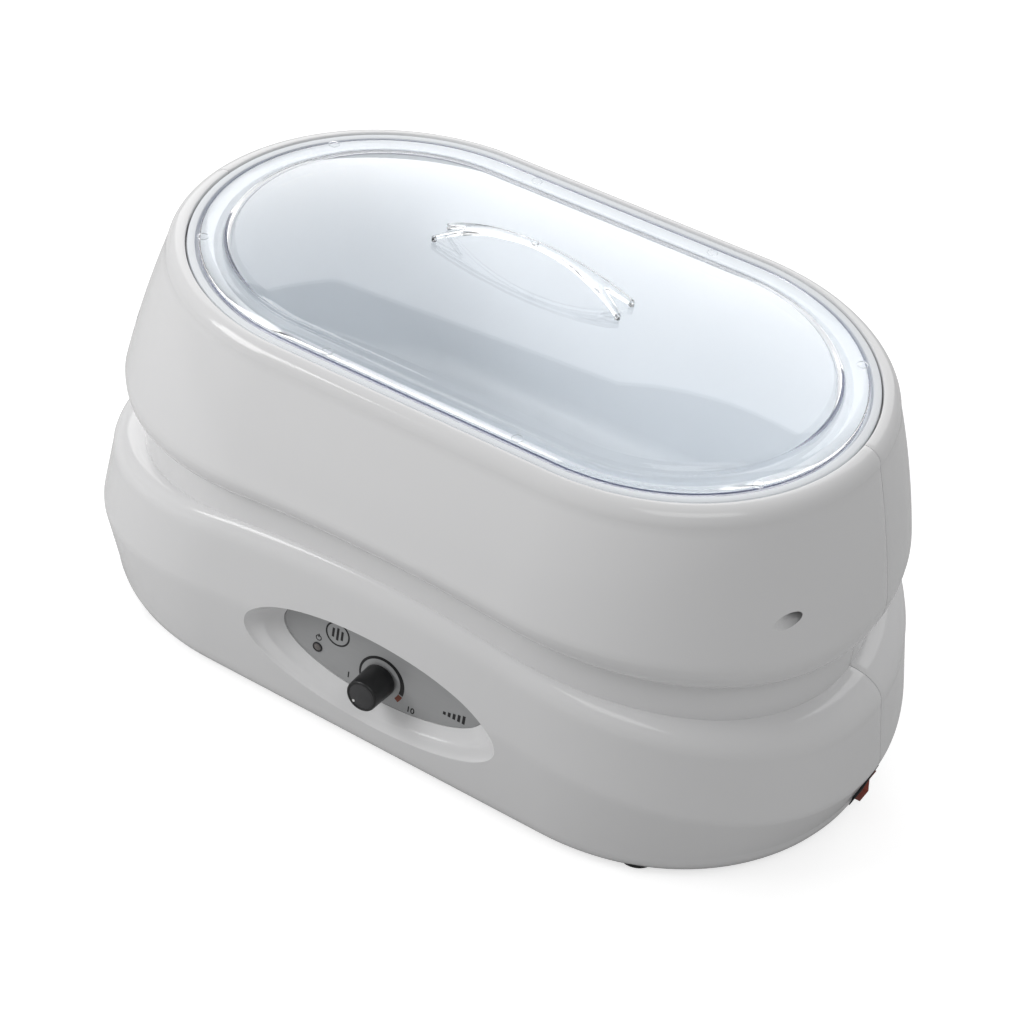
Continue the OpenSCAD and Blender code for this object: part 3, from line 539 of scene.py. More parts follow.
def casing_mesh(casing, panel, panel_sizes):
    """The whole casing before it is split: outer skin, base seat, inner skin and rim ledge."""
    rings = casing_rings(casing)
    wall = casing.wall
    spine, rim = casing.spine, casing.rim_radius
    ledge = casing.rim_height - casing.rim_step
    upright = [(spine, rim, ledge, 0), (spine, rim, casing.rim_height - casing.rim_round, 0),
               (spine, rim + 0.3 * casing.rim_round, casing.rim_height - 0.3 * casing.rim_round, 0),
               rings["rim"]]
    upper = (upper_rows(casing, rings) + down_then_in(rings["upper"], rings["neck"], 12)
             + straight(rings["neck"], rings["waist"], 5)
             + out_then_down(rings["waist"], rings["lower"], 10))
    lower = lower_rows(rings)[1:]
    foot = straight(rings["tuck"], rings["bottom"], 5, 1.2 * MM)
    seat_half = spine + casing.bottom_stretch
    seat_out = rings["bottom"][1] - wall
    seat_in, seat_high = seat_out - 4.5 * MM, 7.2 * MM
    seat = [(seat_half, seat_out, rings["bottom"][2], 0), (seat_half, seat_out, seat_high, 0),
            (seat_half, seat_in, seat_high, 0), (seat_half, seat_in, seat_high + 3 * MM, 0)]
    inner_lower = [thinned(r, wall) for r in reversed([rings["lower"]] + lower)]
    inner_upper = [thinned(rings[n], wall) for n in ("waist", "neck", "upper")]
    shelf = [(spine + 2 * MM, rim + 7.5 * MM - wall, ledge - wall, 0),
             (spine, rim - casing.ledge_width, ledge - wall, 0),
             (spine, rim - casing.ledge_width, ledge, 0)]
    rows = upright + upper + lower + foot + seat + inner_lower + inner_upper + shelf
    outer = len(upright + upper)
    inner = outer + len(lower + foot + seat)
    columns = columns_round(casing.arc_steps, casing.side_steps)
    bm = lofted(rows, columns)
    for first, depth in ((outer, 0), (inner, wall)):
        opening = (rows_in_front(panel, panel_sizes, rows, first, first + len(lower), depth),
                   columns_in_front(panel, panel_sizes, rings["crease"][0], columns, depth))
        sink_recess(bm, panel, panel_sizes, opening, depth)
    return bm


def well_places():
    """Middle of each screw well, from the casing screws' heads."""
    low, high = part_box("casing_screws")
    height = (low.z + high.z) / 2
    return [(low.x + CASING_SCREW_HEAD, height), (high.x - CASING_SCREW_HEAD, height)]


def foot_cutters(side):
    """Clearance round the two feet on one side."""
    low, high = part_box("rubber_feet")
    y = low.y + FOOT_RADIUS if side < 0 else high.y - FOOT_RADIUS
    return [cylinder(FOOT_RADIUS + 1.5 * MM, (x, y, -MM), (x, y, 7 * MM))
            for x in (low.x + FOOT_RADIUS, high.x - FOOT_RADIUS)]


def panel_holes(sizes):
    """Place along the panel and radius of the holes for the shaft and the pilot light."""
    return (0, SHAFT_HOLE), (-sizes.light_out, LIGHT_HOLE)


def switch_place():
    """The switch's own axes: X out of the casing's leaning end."""
    return Matrix.Translation((210.8 * MM, 0, 15.5 * MM)) @ Matrix.Rotation(math.radians(16), 4, "Y")


def switch_cutter():
    """Opening for the switch."""
    bm = block((-15 * MM, -9.6 * MM, -6.45 * MM), (15 * MM, 9.6 * MM, 6.45 * MM))
    placed(bm, switch_place())
    return bm


def well_tube(casing, x, z, radius):
    """Tube of a screw well, ended inside the oblique end wall."""
    rows = upper_rows(casing, casing_rings(casing))
    centre_x = math.copysign(casing.spine, x)
    reach = wall_radius(rows, x, z)
    slope = (wall_radius(rows, x, z - radius) - wall_radius(rows, x, z + radius)) / (2 * radius)
    across = (x - centre_x) / reach
    normal = Vector((across, -math.sqrt(1 - across ** 2), slope)).normalized()
    spot = Vector((x, -math.sqrt(reach ** 2 - (x - centre_x) ** 2), z)) - normal * casing.wall * 0.4
    bm = cylinder(radius, (x, -0.1 * MM, z), (x, -115 * MM, z))
    cut_off(bm, spot, normal)
    return bm


# Materials: shared groups give values and normals, and each material holds its own shader.
def new_group(name, inputs, outputs):
    group = bpy.data.node_groups.new(name, "ShaderNodeTree")
    for label, kind, default in inputs:
        socket = group.interface.new_socket(label, in_out="INPUT", socket_type=kind)
        socket.default_value = default
    for label, kind in outputs:
        group.interface.new_socket(label, in_out="OUTPUT", socket_type=kind)
    return group, group.nodes.new("NodeGroupInput"), group.nodes.new("NodeGroupOutput")


def feed(node, values):
    """Gives a node its inputs: a socket is linked, and any other value is set."""
    for label, value in values.items():
        if isinstance(value, bpy.types.NodeSocket):
            node.id_data.links.new(value, node.inputs[label])
        else:
            node.inputs[label].default_value = value
    return node


def made_node(tree, kind, values):
    return feed(tree.nodes.new(kind), values)


def math_node(tree, operation, first, second):
    node = made_node(tree, "ShaderNodeMath", {0: first, 1: second})
    node.operation = operation
    return node.outputs["Value"]


# Surface groups: stretch of the relief along X, its height, and whether colour and gloss follow
# broad waves or the relief itself.
SURFACES = {"moulded_surface": (1, 0.1 * MM, True), "brushed_metal": (0.02, 0.05 * MM, False)}


def shared_group(name):
    """Fine relief with a spread of the roughness and a drift of the colour, built once."""
    found = bpy.data.node_groups.get(name)
    if found:
        return found
    stretch, height, waves = SURFACES[name]
    values = (("Scale", 900.0), ("Depth", 0.02), ("Roughness", 0.3), ("Roughness Spread", 0.06),
              ("Colour Drift", 0.03))
    group, source, sink = new_group(
        name,
        [(label, "NodeSocketFloat", value) for label, value in values]
        + [("Colour", "NodeSocketColor", (0.8, 0.8, 0.8, 1))],
        [("Colour", "NodeSocketColor"), ("Roughness", "NodeSocketFloat"),
         ("Normal", "NodeSocketVector")])
    given = source.outputs
    place = group.nodes.new("ShaderNodeTexCoord").outputs["Object"]
    stretched = made_node(group, "ShaderNodeMapping", {"Vector": place, "Scale": (stretch, 1, 1)})
    relief = made_node(group, "ShaderNodeTexNoise", {
        "Vector": stretched.outputs["Vector"], "Scale": given["Scale"], "Detail": 2.0})
    broad = relief
    if waves:
        broad = made_node(group, "ShaderNodeTexNoise", {"Vector": place, "Scale": 14.0, "Detail": 3.0})
    bump = made_node(group, "ShaderNodeBump", {
        "Distance": height, "Strength": given["Depth"], "Height": relief.outputs["Fac"]})
    centred = math_node(group, "SUBTRACT", broad.outputs["Fac"], 0.5)
    spread = math_node(group, "MULTIPLY", centred, given["Roughness Spread"])
    drift = math_node(group, "MULTIPLY", centred, given["Colour Drift"])
    tone = made_node(group, "ShaderNodeHueSaturation", {
        "Value": math_node(group, "ADD", 1.0, drift), "Color": given["Colour"]})
    feed(sink, {"Colour": tone.outputs["Color"], "Normal": bump.outputs["Normal"],
                "Roughness": math_node(group, "ADD", given["Roughness"], spread)})
    return group


def surface_node(tree, group_name, values):
    """The outputs of a shared surface group placed in a material with its own values."""
    surface = tree.nodes.new("ShaderNodeGroup")
    surface.node_tree = shared_group(group_name)
    return feed(surface, values).outputs


def finish(name, group_name, values, shader_values):
    """A material whose colour, roughness and normal come from a shared group."""
    found = bpy.data.materials.get("warmer_" + name)
    if found:
        return found
    material = bpy.data.materials.new("warmer_" + name)
    material.use_nodes = True
    tree = material.node_tree
    colour_value = (*values["Colour"], 1)
    surface = surface_node(tree, group_name, {**values, "Colour": colour_value})
    feed(tree.nodes["Principled BSDF"], {
        "Base Color": surface["Colour"], "Roughness": surface["Roughness"],
        "Normal": surface["Normal"], **shader_values})
    material.diffuse_color = colour_value
    return material


def plastic(name, colour_value, roughness=0.35, grain=900.0, depth=0.03, spread=0.06, drift=0.03,
            coat=0.0):
    return finish(name, "moulded_surface",
                  {"Colour": colour_value, "Roughness": roughness, "Scale": grain,
                   "Depth": depth, "Roughness Spread": spread, "Colour Drift": drift},
                  {"Coat Weight": coat})


def metal(name, colour_value, roughness=0.35, lines=2200.0, depth=0.05, metallic=1.0):
    return finish(name, "brushed_metal",
                  {"Colour": colour_value, "Roughness": roughness, "Scale": lines,
                   "Depth": depth, "Roughness Spread": 0.12, "Colour Drift": 0.1},
                  {"Metallic": metallic})


def clear_plastic():
    """Clear moulded plastic that lets light through to what lies under it."""
    found = bpy.data.materials.get("warmer_clear_plastic")
    if found:
        return found
    tint = bpy.context.scene.warmer_finish.clear
    material = bpy.data.materials.new("warmer_clear_plastic")
    material.use_nodes = True
    tree = material.node_tree
    surface = surface_node(tree, "moulded_surface", {
        "Roughness": 0.02, "Roughness Spread": 0.02, "Scale": 60.0, "Depth": 0.003})
    shader = feed(tree.nodes["Principled BSDF"], {
        "Base Color": (*tint, 1), "Transmission Weight": 1, "IOR": 1.49,
        "Roughness": surface["Roughness"], "Normal": surface["Normal"]})
    through = made_node(tree, "ShaderNodeBsdfTransparent", {"Color": (0.93, 0.95, 0.97, 1)})
    rays = tree.nodes.new("ShaderNodeLightPath")
    blend = made_node(tree, "ShaderNodeMixShader", {
        "Fac": rays.outputs["Is Shadow Ray"], 1: shader.outputs["BSDF"],
        2: through.outputs["BSDF"]})
    feed(tree.nodes["Material Output"], {"Surface": blend.outputs["Shader"]})
    return material


def painted_veil(name, shade, cover):
    """A thin sheet of flat colour that what lies behind shows through: painted light standing in for
    clear plastic seen edge on, dark as painted shade at the lid's edge and pale as painted sheen on its
    rib.
    """
    material = plastic(name, shade, 0.25, 700.0, 0.02)
    material.node_tree.nodes["Principled BSDF"].inputs["Alpha"].default_value = cover
    return material


def white_plastic():
    shade = tuple(bpy.context.scene.warmer_finish.casing)
    return plastic("white_plastic", shade, 0.13, 700.0, 0.02, 0.06, 0.02)


def black_plastic():
    return plastic("black_plastic", (0.02, 0.02, 0.022), 0.35, 1200.0, 0.1)


class WARMER_OT_camera(bpy.types.Operator):
    """Places the camera at the photograph's viewing angle"""
    bl_idname = "warmer.camera"
    bl_label = "Camera"

    def execute(self, context):
        azimuth, elevation, roll = (math.radians(a) for a in (26.78, 40.29, 7.15))
        focal_pixels, frame_pixels, sensor = 2204, 1024, 36
        offset, distance = (7.4 * MM, 97.1 * MM), 1007.8 * MM
        ahead = Vector((-math.sin(azimuth) * math.cos(elevation),
                        math.cos(azimuth) * math.cos(elevation), -math.sin(elevation)))
        level = Vector((math.cos(azimuth), math.sin(azimuth), 0))
        rise = level.cross(ahead)
        right = math.cos(roll) * level + math.sin(roll) * rise
        up = math.cos(roll) * rise - math.sin(roll) * level
        rim = Vector((0, 0, context.scene.warmer_casing.rim_height))
        place = rim - offset[0] * right - offset[1] * up - distance * ahead
        data = bpy.data.cameras.new("camera")
        data.sensor_width = sensor
        data.lens = focal_pixels * sensor / frame_pixels
        data.clip_start = 0.05
        camera = bpy.data.objects.new("camera", data)
        turn = Matrix((right, up, -ahead)).transposed().to_4x4()
        camera.matrix_world = Matrix.Translation(place) @ turn
        context.scene.collection.objects.link(camera)
        context.scene.camera = camera
        return {"FINISHED"}


class WARMER_OT_stage(bpy.types.Operator):
    """Adds the pale floor, the soft lamps and the white surroundings"""
    bl_idname = "warmer.stage"
    bl_label = "Stage"

    # Name, place, width, height, power
    lamp_list = (
        ("sky", (-0.72, 1.42, 1.08), 3.0, 1.75, 23.0),
        ("right", (0.62, -0.42, 1.15), 0.7, 0.45, 2.0),
        ("left", (-0.78, -0.72, 0.78), 0.6, 0.5, 5.6),
    )

    def execute(self, context):
        bm = bmesh.new()
        bmesh.ops.create_circle(bm, cap_ends=True, radius=6, segments=96)
        mesh = bpy.data.meshes.new("floor")
        bm.to_mesh(mesh)
        bm.free()
        floor = bpy.data.objects.new("floor", mesh)
        mesh.materials.append(self.floor_finish())
        context.scene.collection.objects.link(floor)
        self.surroundings(context)
        for name, place, width, height, power in self.lamp_list:
            data = bpy.data.lights.new(name, "AREA")
            data.shape = "RECTANGLE"
            data.size = width
            data.size_y = height
            data.energy = power
            lamp = bpy.data.objects.new(name, data)
            aim = Vector((0, 0, 0.1)) - Vector(place)
            turn = aim.to_track_quat("-Z", "Y").to_matrix().to_4x4()
            lamp.matrix_world = Matrix.Translation(place) @ turn
            context.scene.collection.objects.link(lamp)
        context.scene.view_settings.view_transform = "Standard"
        return {"FINISHED"}

    @staticmethod
    def seen_rays(tree):
        """1 for rays that see the background straight, and less for those through clear plastic."""
        rays = tree.nodes.new("ShaderNodeLightPath")
        through = math_node(tree, "SUBTRACT", rays.outputs["Is Transmission Ray"],
                            rays.outputs["Diffuse Depth"])
        dimmed = math_node(tree, "MULTIPLY", through, 0.78)
        return math_node(tree, "MAXIMUM", rays.outputs["Is Camera Ray"], dimmed)

    def floor_finish(self):
        """Pale floor that is white where it is seen, apart from the object's shadow."""
        material = bpy.data.materials.new("floor")
        material.use_nodes = True
        tree = material.node_tree
        shader = feed(tree.nodes["Principled BSDF"], {
            "Base Color": (0.62, 0.62, 0.62, 1), "Roughness": 0.9, "Specular IOR Level": 0})
        length = made_node(tree, "ShaderNodeVectorMath", {
            0: tree.nodes.new("ShaderNodeTexCoord").outputs["Object"]})
        length.operation = "LENGTH"
        far = made_node(tree, "ShaderNodeMapRange", {
            "Value": length.outputs["Value"], "From Min": 0.45, "From Max": 1.3,
            "To Min": 0.66, "To Max": 1})
        strength = math_node(tree, "MULTIPLY", self.seen_rays(tree), far.outputs["Result"])
        glow = made_node(tree, "ShaderNodeEmission", {"Color": (1, 1, 1, 1), "Strength": strength})
        both = made_node(tree, "ShaderNodeAddShader", {
            0: shader.outputs["BSDF"], 1: glow.outputs["Emission"]})
        feed(tree.nodes["Material Output"], {"Surface": both.outputs["Shader"]})
        return material

    def surroundings(self, context):
        """Even light from all round, and white where it is seen."""
        world = bpy.data.worlds.new("surroundings")
        world.use_nodes = True
        tree = world.node_tree
        seen = self.seen_rays(tree)
        level = 0.365
        strength = math_node(tree, "ADD", level, math_node(tree, "MULTIPLY", seen, 1 - level))
        feed(tree.nodes["Background"], {"Color": (1, 1, 1, 1), "Strength": strength})
        context.scene.world = world


class WARMER_OT_casing(bpy.types.Operator):
    """Builds the two moulded halves of the casing"""
    bl_idname = "warmer.casing"
    bl_label = "Casing"

    def execute(self, context):
        scene = context.scene
        casing = scene.warmer_casing
        panel = Panel(scene.warmer_panel, casing)
        whole = casing_mesh(casing, panel, scene.warmer_panel)
        back = whole.copy()
        self.front(whole, casing, panel, scene.warmer_panel)
        self.rear(back, casing)
        return {"FINISHED"}

    def front(self, bm, casing, panel, sizes):
        bm = half_of(bm, -1, casing.seam_gap, casing.seam_round)
        wells = well_places()
        tubes = [well_tube(casing, x, z, 6.1 * MM) for x, z in wells]
        bm = cut_mesh(bm, "UNION", *tubes)
        holes = [cylinder(3.6 * MM, (x, -12 * MM, z), (x, -120 * MM, z)) for x, z in wells]
        holes += foot_cutters(-1) + [switch_cutter()]
        for u, radius in panel_holes(sizes):
            holes.append(cylinder(radius, panel.point(u, 0, 3 * MM), panel.point(u, 0, -10 * MM)))
        bm = cut_mesh(bm, "DIFFERENCE", *holes)
        made_piece("front_shell", bm, white_plastic(), "front_casing", sharp=38)

    def rear(self, bm, casing):
        bm = half_of(bm, 1, casing.seam_gap, casing.seam_round)
        inlet = block((-13.7 * MM, -20 * MM, -10 * MM), (13.7 * MM, 20 * MM, 10 * MM))
        placed(inlet, Matrix.Translation((60 * MM, 118.88 * MM, 38 * MM))
               @ Matrix.Rotation(math.radians(-9.37), 4, "X"))
        bm = cut_mesh(bm, "DIFFERENCE", *(foot_cutters(1) + [switch_cutter(), inlet]))
        made_piece("rear_shell", bm, white_plastic(), "rear_casing", sharp=38)


class WARMER_OT_basin(bpy.types.Operator):
    """Builds the deep basin with its raised lip"""
    bl_idname = "warmer.basin"
    bl_label = "Basin"

    def execute(self, context):
        casing = context.scene.warmer_casing
        low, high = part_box("basin")
        outer = high.y
        sheet, lip = 1.5 * MM, 4.2 * MM
        mouth, floor = 86 * MM, 81 * MM
        corner = 12 * MM
        flange = casing.rim_height - casing.rim_step + 1 * MM
        top = high.z

        def corner_arc(radius, base, steps=14):
            turns = [math.pi / 2 * i / steps for i in range(steps + 1)]
            return [(floor + sheet * (radius > corner) - radius + radius * math.sin(t),
                     base + radius - radius * math.cos(t)) for t in turns]

        under = [(0, low.z)] + corner_arc(corner + sheet, low.z)
        rim = ([(mouth + sheet, flange), (outer, flange)]
               + around(outer, top, (0, -1.2), (-0.12, -0.6), (-0.5, -0.15), (-1.1, 0))
               + around(outer - lip, top, (1.1, 0), (0.5, -0.15), (0.12, -0.6), (0, -1.2))
               + [(outer - lip, flange + sheet)]
               + around(mouth, flange + sheet, (1.2, 0), (0.35, -0.35), (0, -1.2)))
        inside = list(reversed(corner_arc(corner, low.z + sheet))) + [(0, low.z + sheet)]
        rings = [(casing.spine, r, z, 0) for r, z in under + rim + inside]
        bm = lofted(rings, columns_round(96, 36), closed=False)
        bmesh.ops.recalc_face_normals(bm, faces=bm.faces)
        shade = tuple(context.scene.warmer_finish.basin)
        enamel = plastic("basin_enamel", shade, 0.3, 500.0, 0.03, 0.06, 0.02)
        made_piece("basin_shell", bm, enamel, "basin")
        return {"FINISHED"}


class WARMER_OT_lid(bpy.types.Operator):
    """Builds the clear domed lid with its flange, rib and ejector marks"""
    bl_idname = "warmer.lid"
    bl_label = "Lid"

    def execute(self, context):
        sizes = context.scene.warmer_lid
        spine = context.scene.warmer_casing.spine
        low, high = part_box("lid")
        edge = high.y
        crown = high.z
        top = crown - sizes.rise
        seat = top - sizes.flange
        dome_radius = sizes.panel_radius

        def dome(radius):
            return crown - (sizes.rise - sizes.step) * (radius / dome_radius) ** 2

        steps = 22
        inner = dome_radius - sizes.wall
        under = [(inner * i / steps, dome(inner * i / steps) - sizes.wall) for i in range(steps + 1)]
        under += (around(inner, under[-1][1], (0.25, -0.5))
                  + around(inner, seat, (0.6, 0.8), (1.2, 0.2), (2, 0)))
        flange = (around(edge, seat, (-0.8, 0), (-0.25, 0.2), (0, 0.8))
                  + around(edge, top, (0, -1), (-0.3, -0.35), (-1, 0)))
        step = (around(dome_radius, top, (1.3, 0), (0.6, 0.2), (0.25, 0.7), (0.1, 1.3))
                + around(dome_radius, top + sizes.step, (-0.3, -0.15)))
        last = dome_radius - 1.2 * MM
        over = [(last * i / steps, dome(last * i / steps)) for i in range(steps, -1, -1)]
        rings = [(spine, r, z, 0) for r, z in under + flange + step + over]
        bm = lofted(rings, columns_round(96, 48), closed=False)
        bmesh.ops.recalc_face_normals(bm, faces=bm.faces)
        # The rib is drawn as a pale, nearly clear sheet of colour: painted sheen standing in for the
        # light the clear rib catches.
        self.band("lid_rib", spine, 82.2 * MM, 84.4 * MM, low.z, seat - 0.02 * MM,
                  painted_veil("rib_painted_sheen", (0.86, 0.88, 0.9), 0.06))
        # The outer edge gets a dark blue sheet of colour: painted shade standing in for the dark lines
        # that clear plastic shows edge on.
        self.band("lid_edge", spine, edge - 0.02 * MM, edge + 0.02 * MM, seat + 0.3 * MM,
                  top - 0.3 * MM, painted_veil("edge_painted_shade", (0.14, 0.17, 0.34), 0.4))
        for x, y in ((145, 53), (49, 90)):
            for side_x in (-1, 1):
                for side_y in (-1, 1):
                    mark = self.ejector_mark(sizes.mark_radius)
                    placed(mark, Matrix.Translation((side_x * x * MM, side_y * y * MM, top)))
                    joined(bm, mark)
        made_piece("lid_shell", bm, clear_plastic(), "lid", sharp=50)
        return {"FINISHED"}

    @staticmethod
    def band(name, spine, inside, outside, low, high, material):
        """A thin upright band round the lid."""
        rings = [(spine, r, z, 0) for r, z in ((outside, low), (outside, high), (inside, high),
                                               (inside, low))]
        bm = lofted(rings, columns_round(96, 48))
        bmesh.ops.recalc_face_normals(bm, faces=bm.faces)
        made_piece(name, bm, material, "lid", replaces=False)

    @staticmethod
    def ejector_mark(radius):
        """A low ring left by an ejector pin."""
        half, high = 0.25 * MM, 0.18 * MM
        profile = [(radius - half, -0.1 * MM), (radius - half, high * 0.6), (radius, high),
                   (radius + half, high * 0.6), (radius + half, -0.1 * MM), (radius - half, -0.1 * MM)]
        return turned(profile, 40)


class WARMER_OT_handle(bpy.types.Operator):
    """Builds the clear arched handle with its forked feet and gate mark"""
    bl_idname = "warmer.handle"
    bl_label = "Lid handle"

    def execute(self, context):
        sizes = context.scene.warmer_handle
        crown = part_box("lid_handle")[1].z - sizes.rise
        bm = joined(self.strip(sizes, crown, 1), self.strip(sizes, crown, -1))
        bmesh.ops.remove_doubles(bm, verts=bm.verts, dist=0.005 * MM)
        bmesh.ops.recalc_face_normals(bm, faces=bm.faces)
        bevelled(bm, 0.3 * MM, 50, 2)
        foot = sizes.foot_width / 2 - sizes.prong
        for end in (-1, 1):
            for side in (-1, 1):
                x, y = end * (sizes.half_span - 0.5 * MM), side * foot
                peg = cylinder(sizes.prong * 0.8, (x, y, crown - 0.4 * MM),
                               (x, y, crown + 1.8 * MM), 32)
                joined(bm, peg)
        top = crown + sizes.rise
        joined(bm, cylinder(1.7 * MM, (0, 0, top - 0.5 * MM), (0, 0, top - 0.02 * MM), 32, 1.3 * MM))
        made_piece("handle_strip", bm, clear_plastic(), "lid_handle", sharp=40)
        return {"FINISHED"}

    @staticmethod
    def strip(sizes, crown, side):
        """One half of the strip, from its middle plane or the fork's inner edge outwards."""
        reach = sizes.half_span + 3 * MM
        arc = (reach ** 2 + sizes.rise ** 2) / (2 * sizes.rise)
        steps = 44
        root = sizes.half_span - sizes.fork
        bm = bmesh.new()
        corner_of = bm.verts.layers.int.new("corner")
        first = [bm.verts.new() for _ in range(4)]
        edges = [bm.edges.new(pair) for pair in zip(first, first[1:] + first[:1])]
        for index, vert in enumerate(first):
            vert[corner_of] = index

        def corner(index, x):
            share = abs(x) / sizes.half_span
            outside = mix(sizes.waist_width, sizes.foot_width, share ** 2.2) / 2
            split = max(0, (abs(x) - root) / sizes.fork)
            inside = split * (sizes.foot_width / 2 - 2 * sizes.prong)
            high = crown + sizes.rise - arc + math.sqrt(arc ** 2 - x ** 2)
            low = max(high - sizes.thickness, crown + 0.15 * MM)
            y = (inside, outside, outside, inside)[index]
            return Vector((x, side * y, (high, high, low, low)[index]))

        places = [sizes.half_span * (2 * i / steps - 1) for i in range(steps + 1)]
        places = sorted(places + [-root, root])
        for vert in first:
            vert.co = corner(vert[corner_of], places[0])
        bmesh.ops.edgeloop_fill(bm, edges=edges)
        for x in places[1:]:
            edges = extruded(bm, edges, lambda v: corner(v[corner_of], x))
        bmesh.ops.edgeloop_fill(bm, edges=edges)
        middle = [f for f in bm.faces if all(abs(v.co.y) < 0.001 * MM for v in f.verts)]
        bmesh.ops.delete(bm, geom=middle, context="FACES")
        return bm


class WARMER_OT_panel(bpy.types.Operator):
    """Builds the label plate, its printed dial and marks, and the pilot light"""
    bl_idname = "warmer.panel"
    bl_label = "Control panel"

    def execute(self, context):
        scene = context.scene
        sizes = scene.warmer_panel
        panel = Panel(sizes, scene.warmer_casing)
        face = sizes.label_thickness / 2
        plate = self.plate(sizes, panel, face)
        silver = metal("label_silver", tuple(scene.warmer_finish.label), 0.42, 1500.0, 0.06, 0.2)
        made_piece("label_face", plate, silver, "label_plate")
        ink = plastic("black_ink", (0.012, 0.012, 0.013), 0.5, 1500.0, 0.05)
        red = plastic("red_ink", (0.20, 0.045, 0.02), 0.5, 1500.0, 0.05)
        up = face + 0.01 * MM
        arc = self.arc(sizes.dial_radius, 1.0 * MM, 2.4 * MM, 196, -16)
        marks = {"dial_arc": (arc, ink),
                 "dial_end": (self.arc(sizes.dial_radius, 2.5 * MM, 2.5 * MM, -19, -38), red),
                 "dial_numbers": (self.numbers(), ink), "heat_mark": (self.heat_mark(), ink),
                 "power_mark": (self.power_mark(sizes), ink), "level_bars": (self.level_bars(), ink)}
        for name, (bm, ink_finish) in marks.items():
            placed(bm, panel.matrix(h=up))
            made_piece(name, bm, ink_finish, "label_plate", replaces=False)
        self.pilot_light(sizes, panel, face)
        return {"FINISHED"}

    @staticmethod
    def plate(sizes, panel, face):
        """Oval plate with a rounded edge and holes for the shaft and the light."""
        bm = bmesh.new()
        bmesh.ops.create_circle(bm, cap_ends=True, segments=160, radius=1)
        placed(bm, Matrix.Diagonal((sizes.label_length / 2, sizes.label_width / 2, 1, 1)))
        raised = bmesh.ops.extrude_face_region(bm, geom=bm.faces[:])["geom"]
        bmesh.ops.translate(bm, verts=only(bmesh.types.BMVert, raised), vec=(0, 0, 2 * face))
        bmesh.ops.recalc_face_normals(bm, faces=bm.faces)
        bevelled(bm, 0.2 * MM, 50, 2)
        placed(bm, Matrix.Translation((0, sizes.label_up, -face)))
        holes = [cylinder(radius, (u, 0, -MM), (u, 0, MM))
                 for u, radius in panel_holes(sizes)]
        bm = cut_mesh(bm, "DIFFERENCE", *holes)
        placed(bm, panel.matrix())
        return bm

    @staticmethod
    def arc(radius, start_width, end_width, start, end):
        """A printed band round the dial that widens from start to end, in degrees."""
        steps = max(6, int(abs(start - end) / 3))
        bm = bmesh.new()
        inner, outer = [], []
        for i in range(steps + 1):
            turn = math.radians(mix(start, end, i / steps))
            reach = radius + mix(start_width, end_width, i / steps)
            inner.append(bm.verts.new((radius * math.cos(turn), radius * math.sin(turn), 0)))
            outer.append(bm.verts.new((reach * math.cos(turn), reach * math.sin(turn), 0)))
        edges = [bm.edges.new(pair) for side in (inner, outer) for pair in zip(side, side[1:])]
        bmesh.ops.bridge_loops(bm, edges=edges)
        return raised_print(bm)

    @staticmethod
    def numbers():
        """Plain numbers at the two ends of the dial."""
        first = printed_text("1", 4.6 * MM, (-17.4 * MM, -7.0 * MM))
        last = printed_text("10", 4.6 * MM, (18.0 * MM, -9.2 * MM))
        return joined(first, last)

    @staticmethod
    def heat_mark():
        """A plain ring round three upright bars."""
        bm = ring_print(6.8 * MM, 5.9 * MM)
        for x in (-2.5, 0, 2.5):
            tall = 2.6 if x else 3.6
            joined(bm, block(((x - 0.65) * MM, -tall * MM, 0),
                             ((x + 0.65) * MM, tall * MM, PRINT_DEPTH)))
        placed(bm, Matrix.Translation((-26 * MM, 13 * MM, 0)))
        return bm

    @staticmethod
    def power_mark(sizes):
        """A plain ring and bar over the pilot light."""
        bm = ring_print(1.7 * MM, 1.15 * MM)
        joined(bm, block((-0.3 * MM, 0.3 * MM, 0), (0.3 * MM, 2.3 * MM, PRINT_DEPTH)))
        placed(bm, Matrix.Translation((-sizes.light_out, 5.6 * MM, 0)))
        return bm

    @staticmethod
    def level_bars():
        """Five plain bars of rising height."""
        bm = bmesh.new()
        for i in range(5):
            x = (35 + 2.6 * i) * MM
            joined(bm, block((x, -1.6 * MM, 0), (x + 1.5 * MM, (0.2 + 0.75 * i) * MM, PRINT_DEPTH)))
        return bm

    @staticmethod
    def pilot_light(sizes, panel, face):
        """Domed lens in a dark ring."""
        lens = turned(around(0, 0, (0, -6), (1.95, -6), (1.95, 0.25), (1.7, 0.45), (1.1, 0.6),
                             (0.5, 0.66), (0, 0.68)), 48)
        placed(lens, panel.matrix(-sizes.light_out, 0, face))
        grey = plastic("pilot_lens", (0.15, 0.135, 0.13), 0.15, 300.0, 0.02, coat=0.5)
        made_piece("pilot_lens", lens, grey, "pilot_light")
        ring = turned(around(0, 0, (2, 0.02), (2, 0.5), (2.2, 0.6), (2.55, 0.5), (2.7, 0.2),
                             (2.7, 0.02), (2, 0.02)), 48)
        placed(ring, panel.matrix(-sizes.light_out, 0, face))
        made_piece("pilot_ring", ring, black_plastic(), "pilot_light",
                   replaces=False)


PRINT_DEPTH = 0.05 * MM


def raised_print(bm):
    """Gives a flat print its thickness."""
    bmesh.ops.recalc_face_normals(bm, faces=bm.faces)
    if bm.faces and bm.faces[:][0].normal.z < 0:
        bmesh.ops.reverse_faces(bm, faces=bm.faces)
    made = bmesh.ops.extrude_face_region(bm, geom=bm.faces[:], use_keep_orig=True)["geom"]
    bmesh.ops.translate(bm, verts=only(bmesh.types.BMVert, made), vec=(0, 0, PRINT_DEPTH))
    bmesh.ops.recalc_face_normals(bm, faces=bm.faces)
    return bm


def ring_print(outer, inner):
    return turned([(inner, 0), (inner, PRINT_DEPTH), (outer, PRINT_DEPTH), (outer, 0), (inner, 0)], 64)


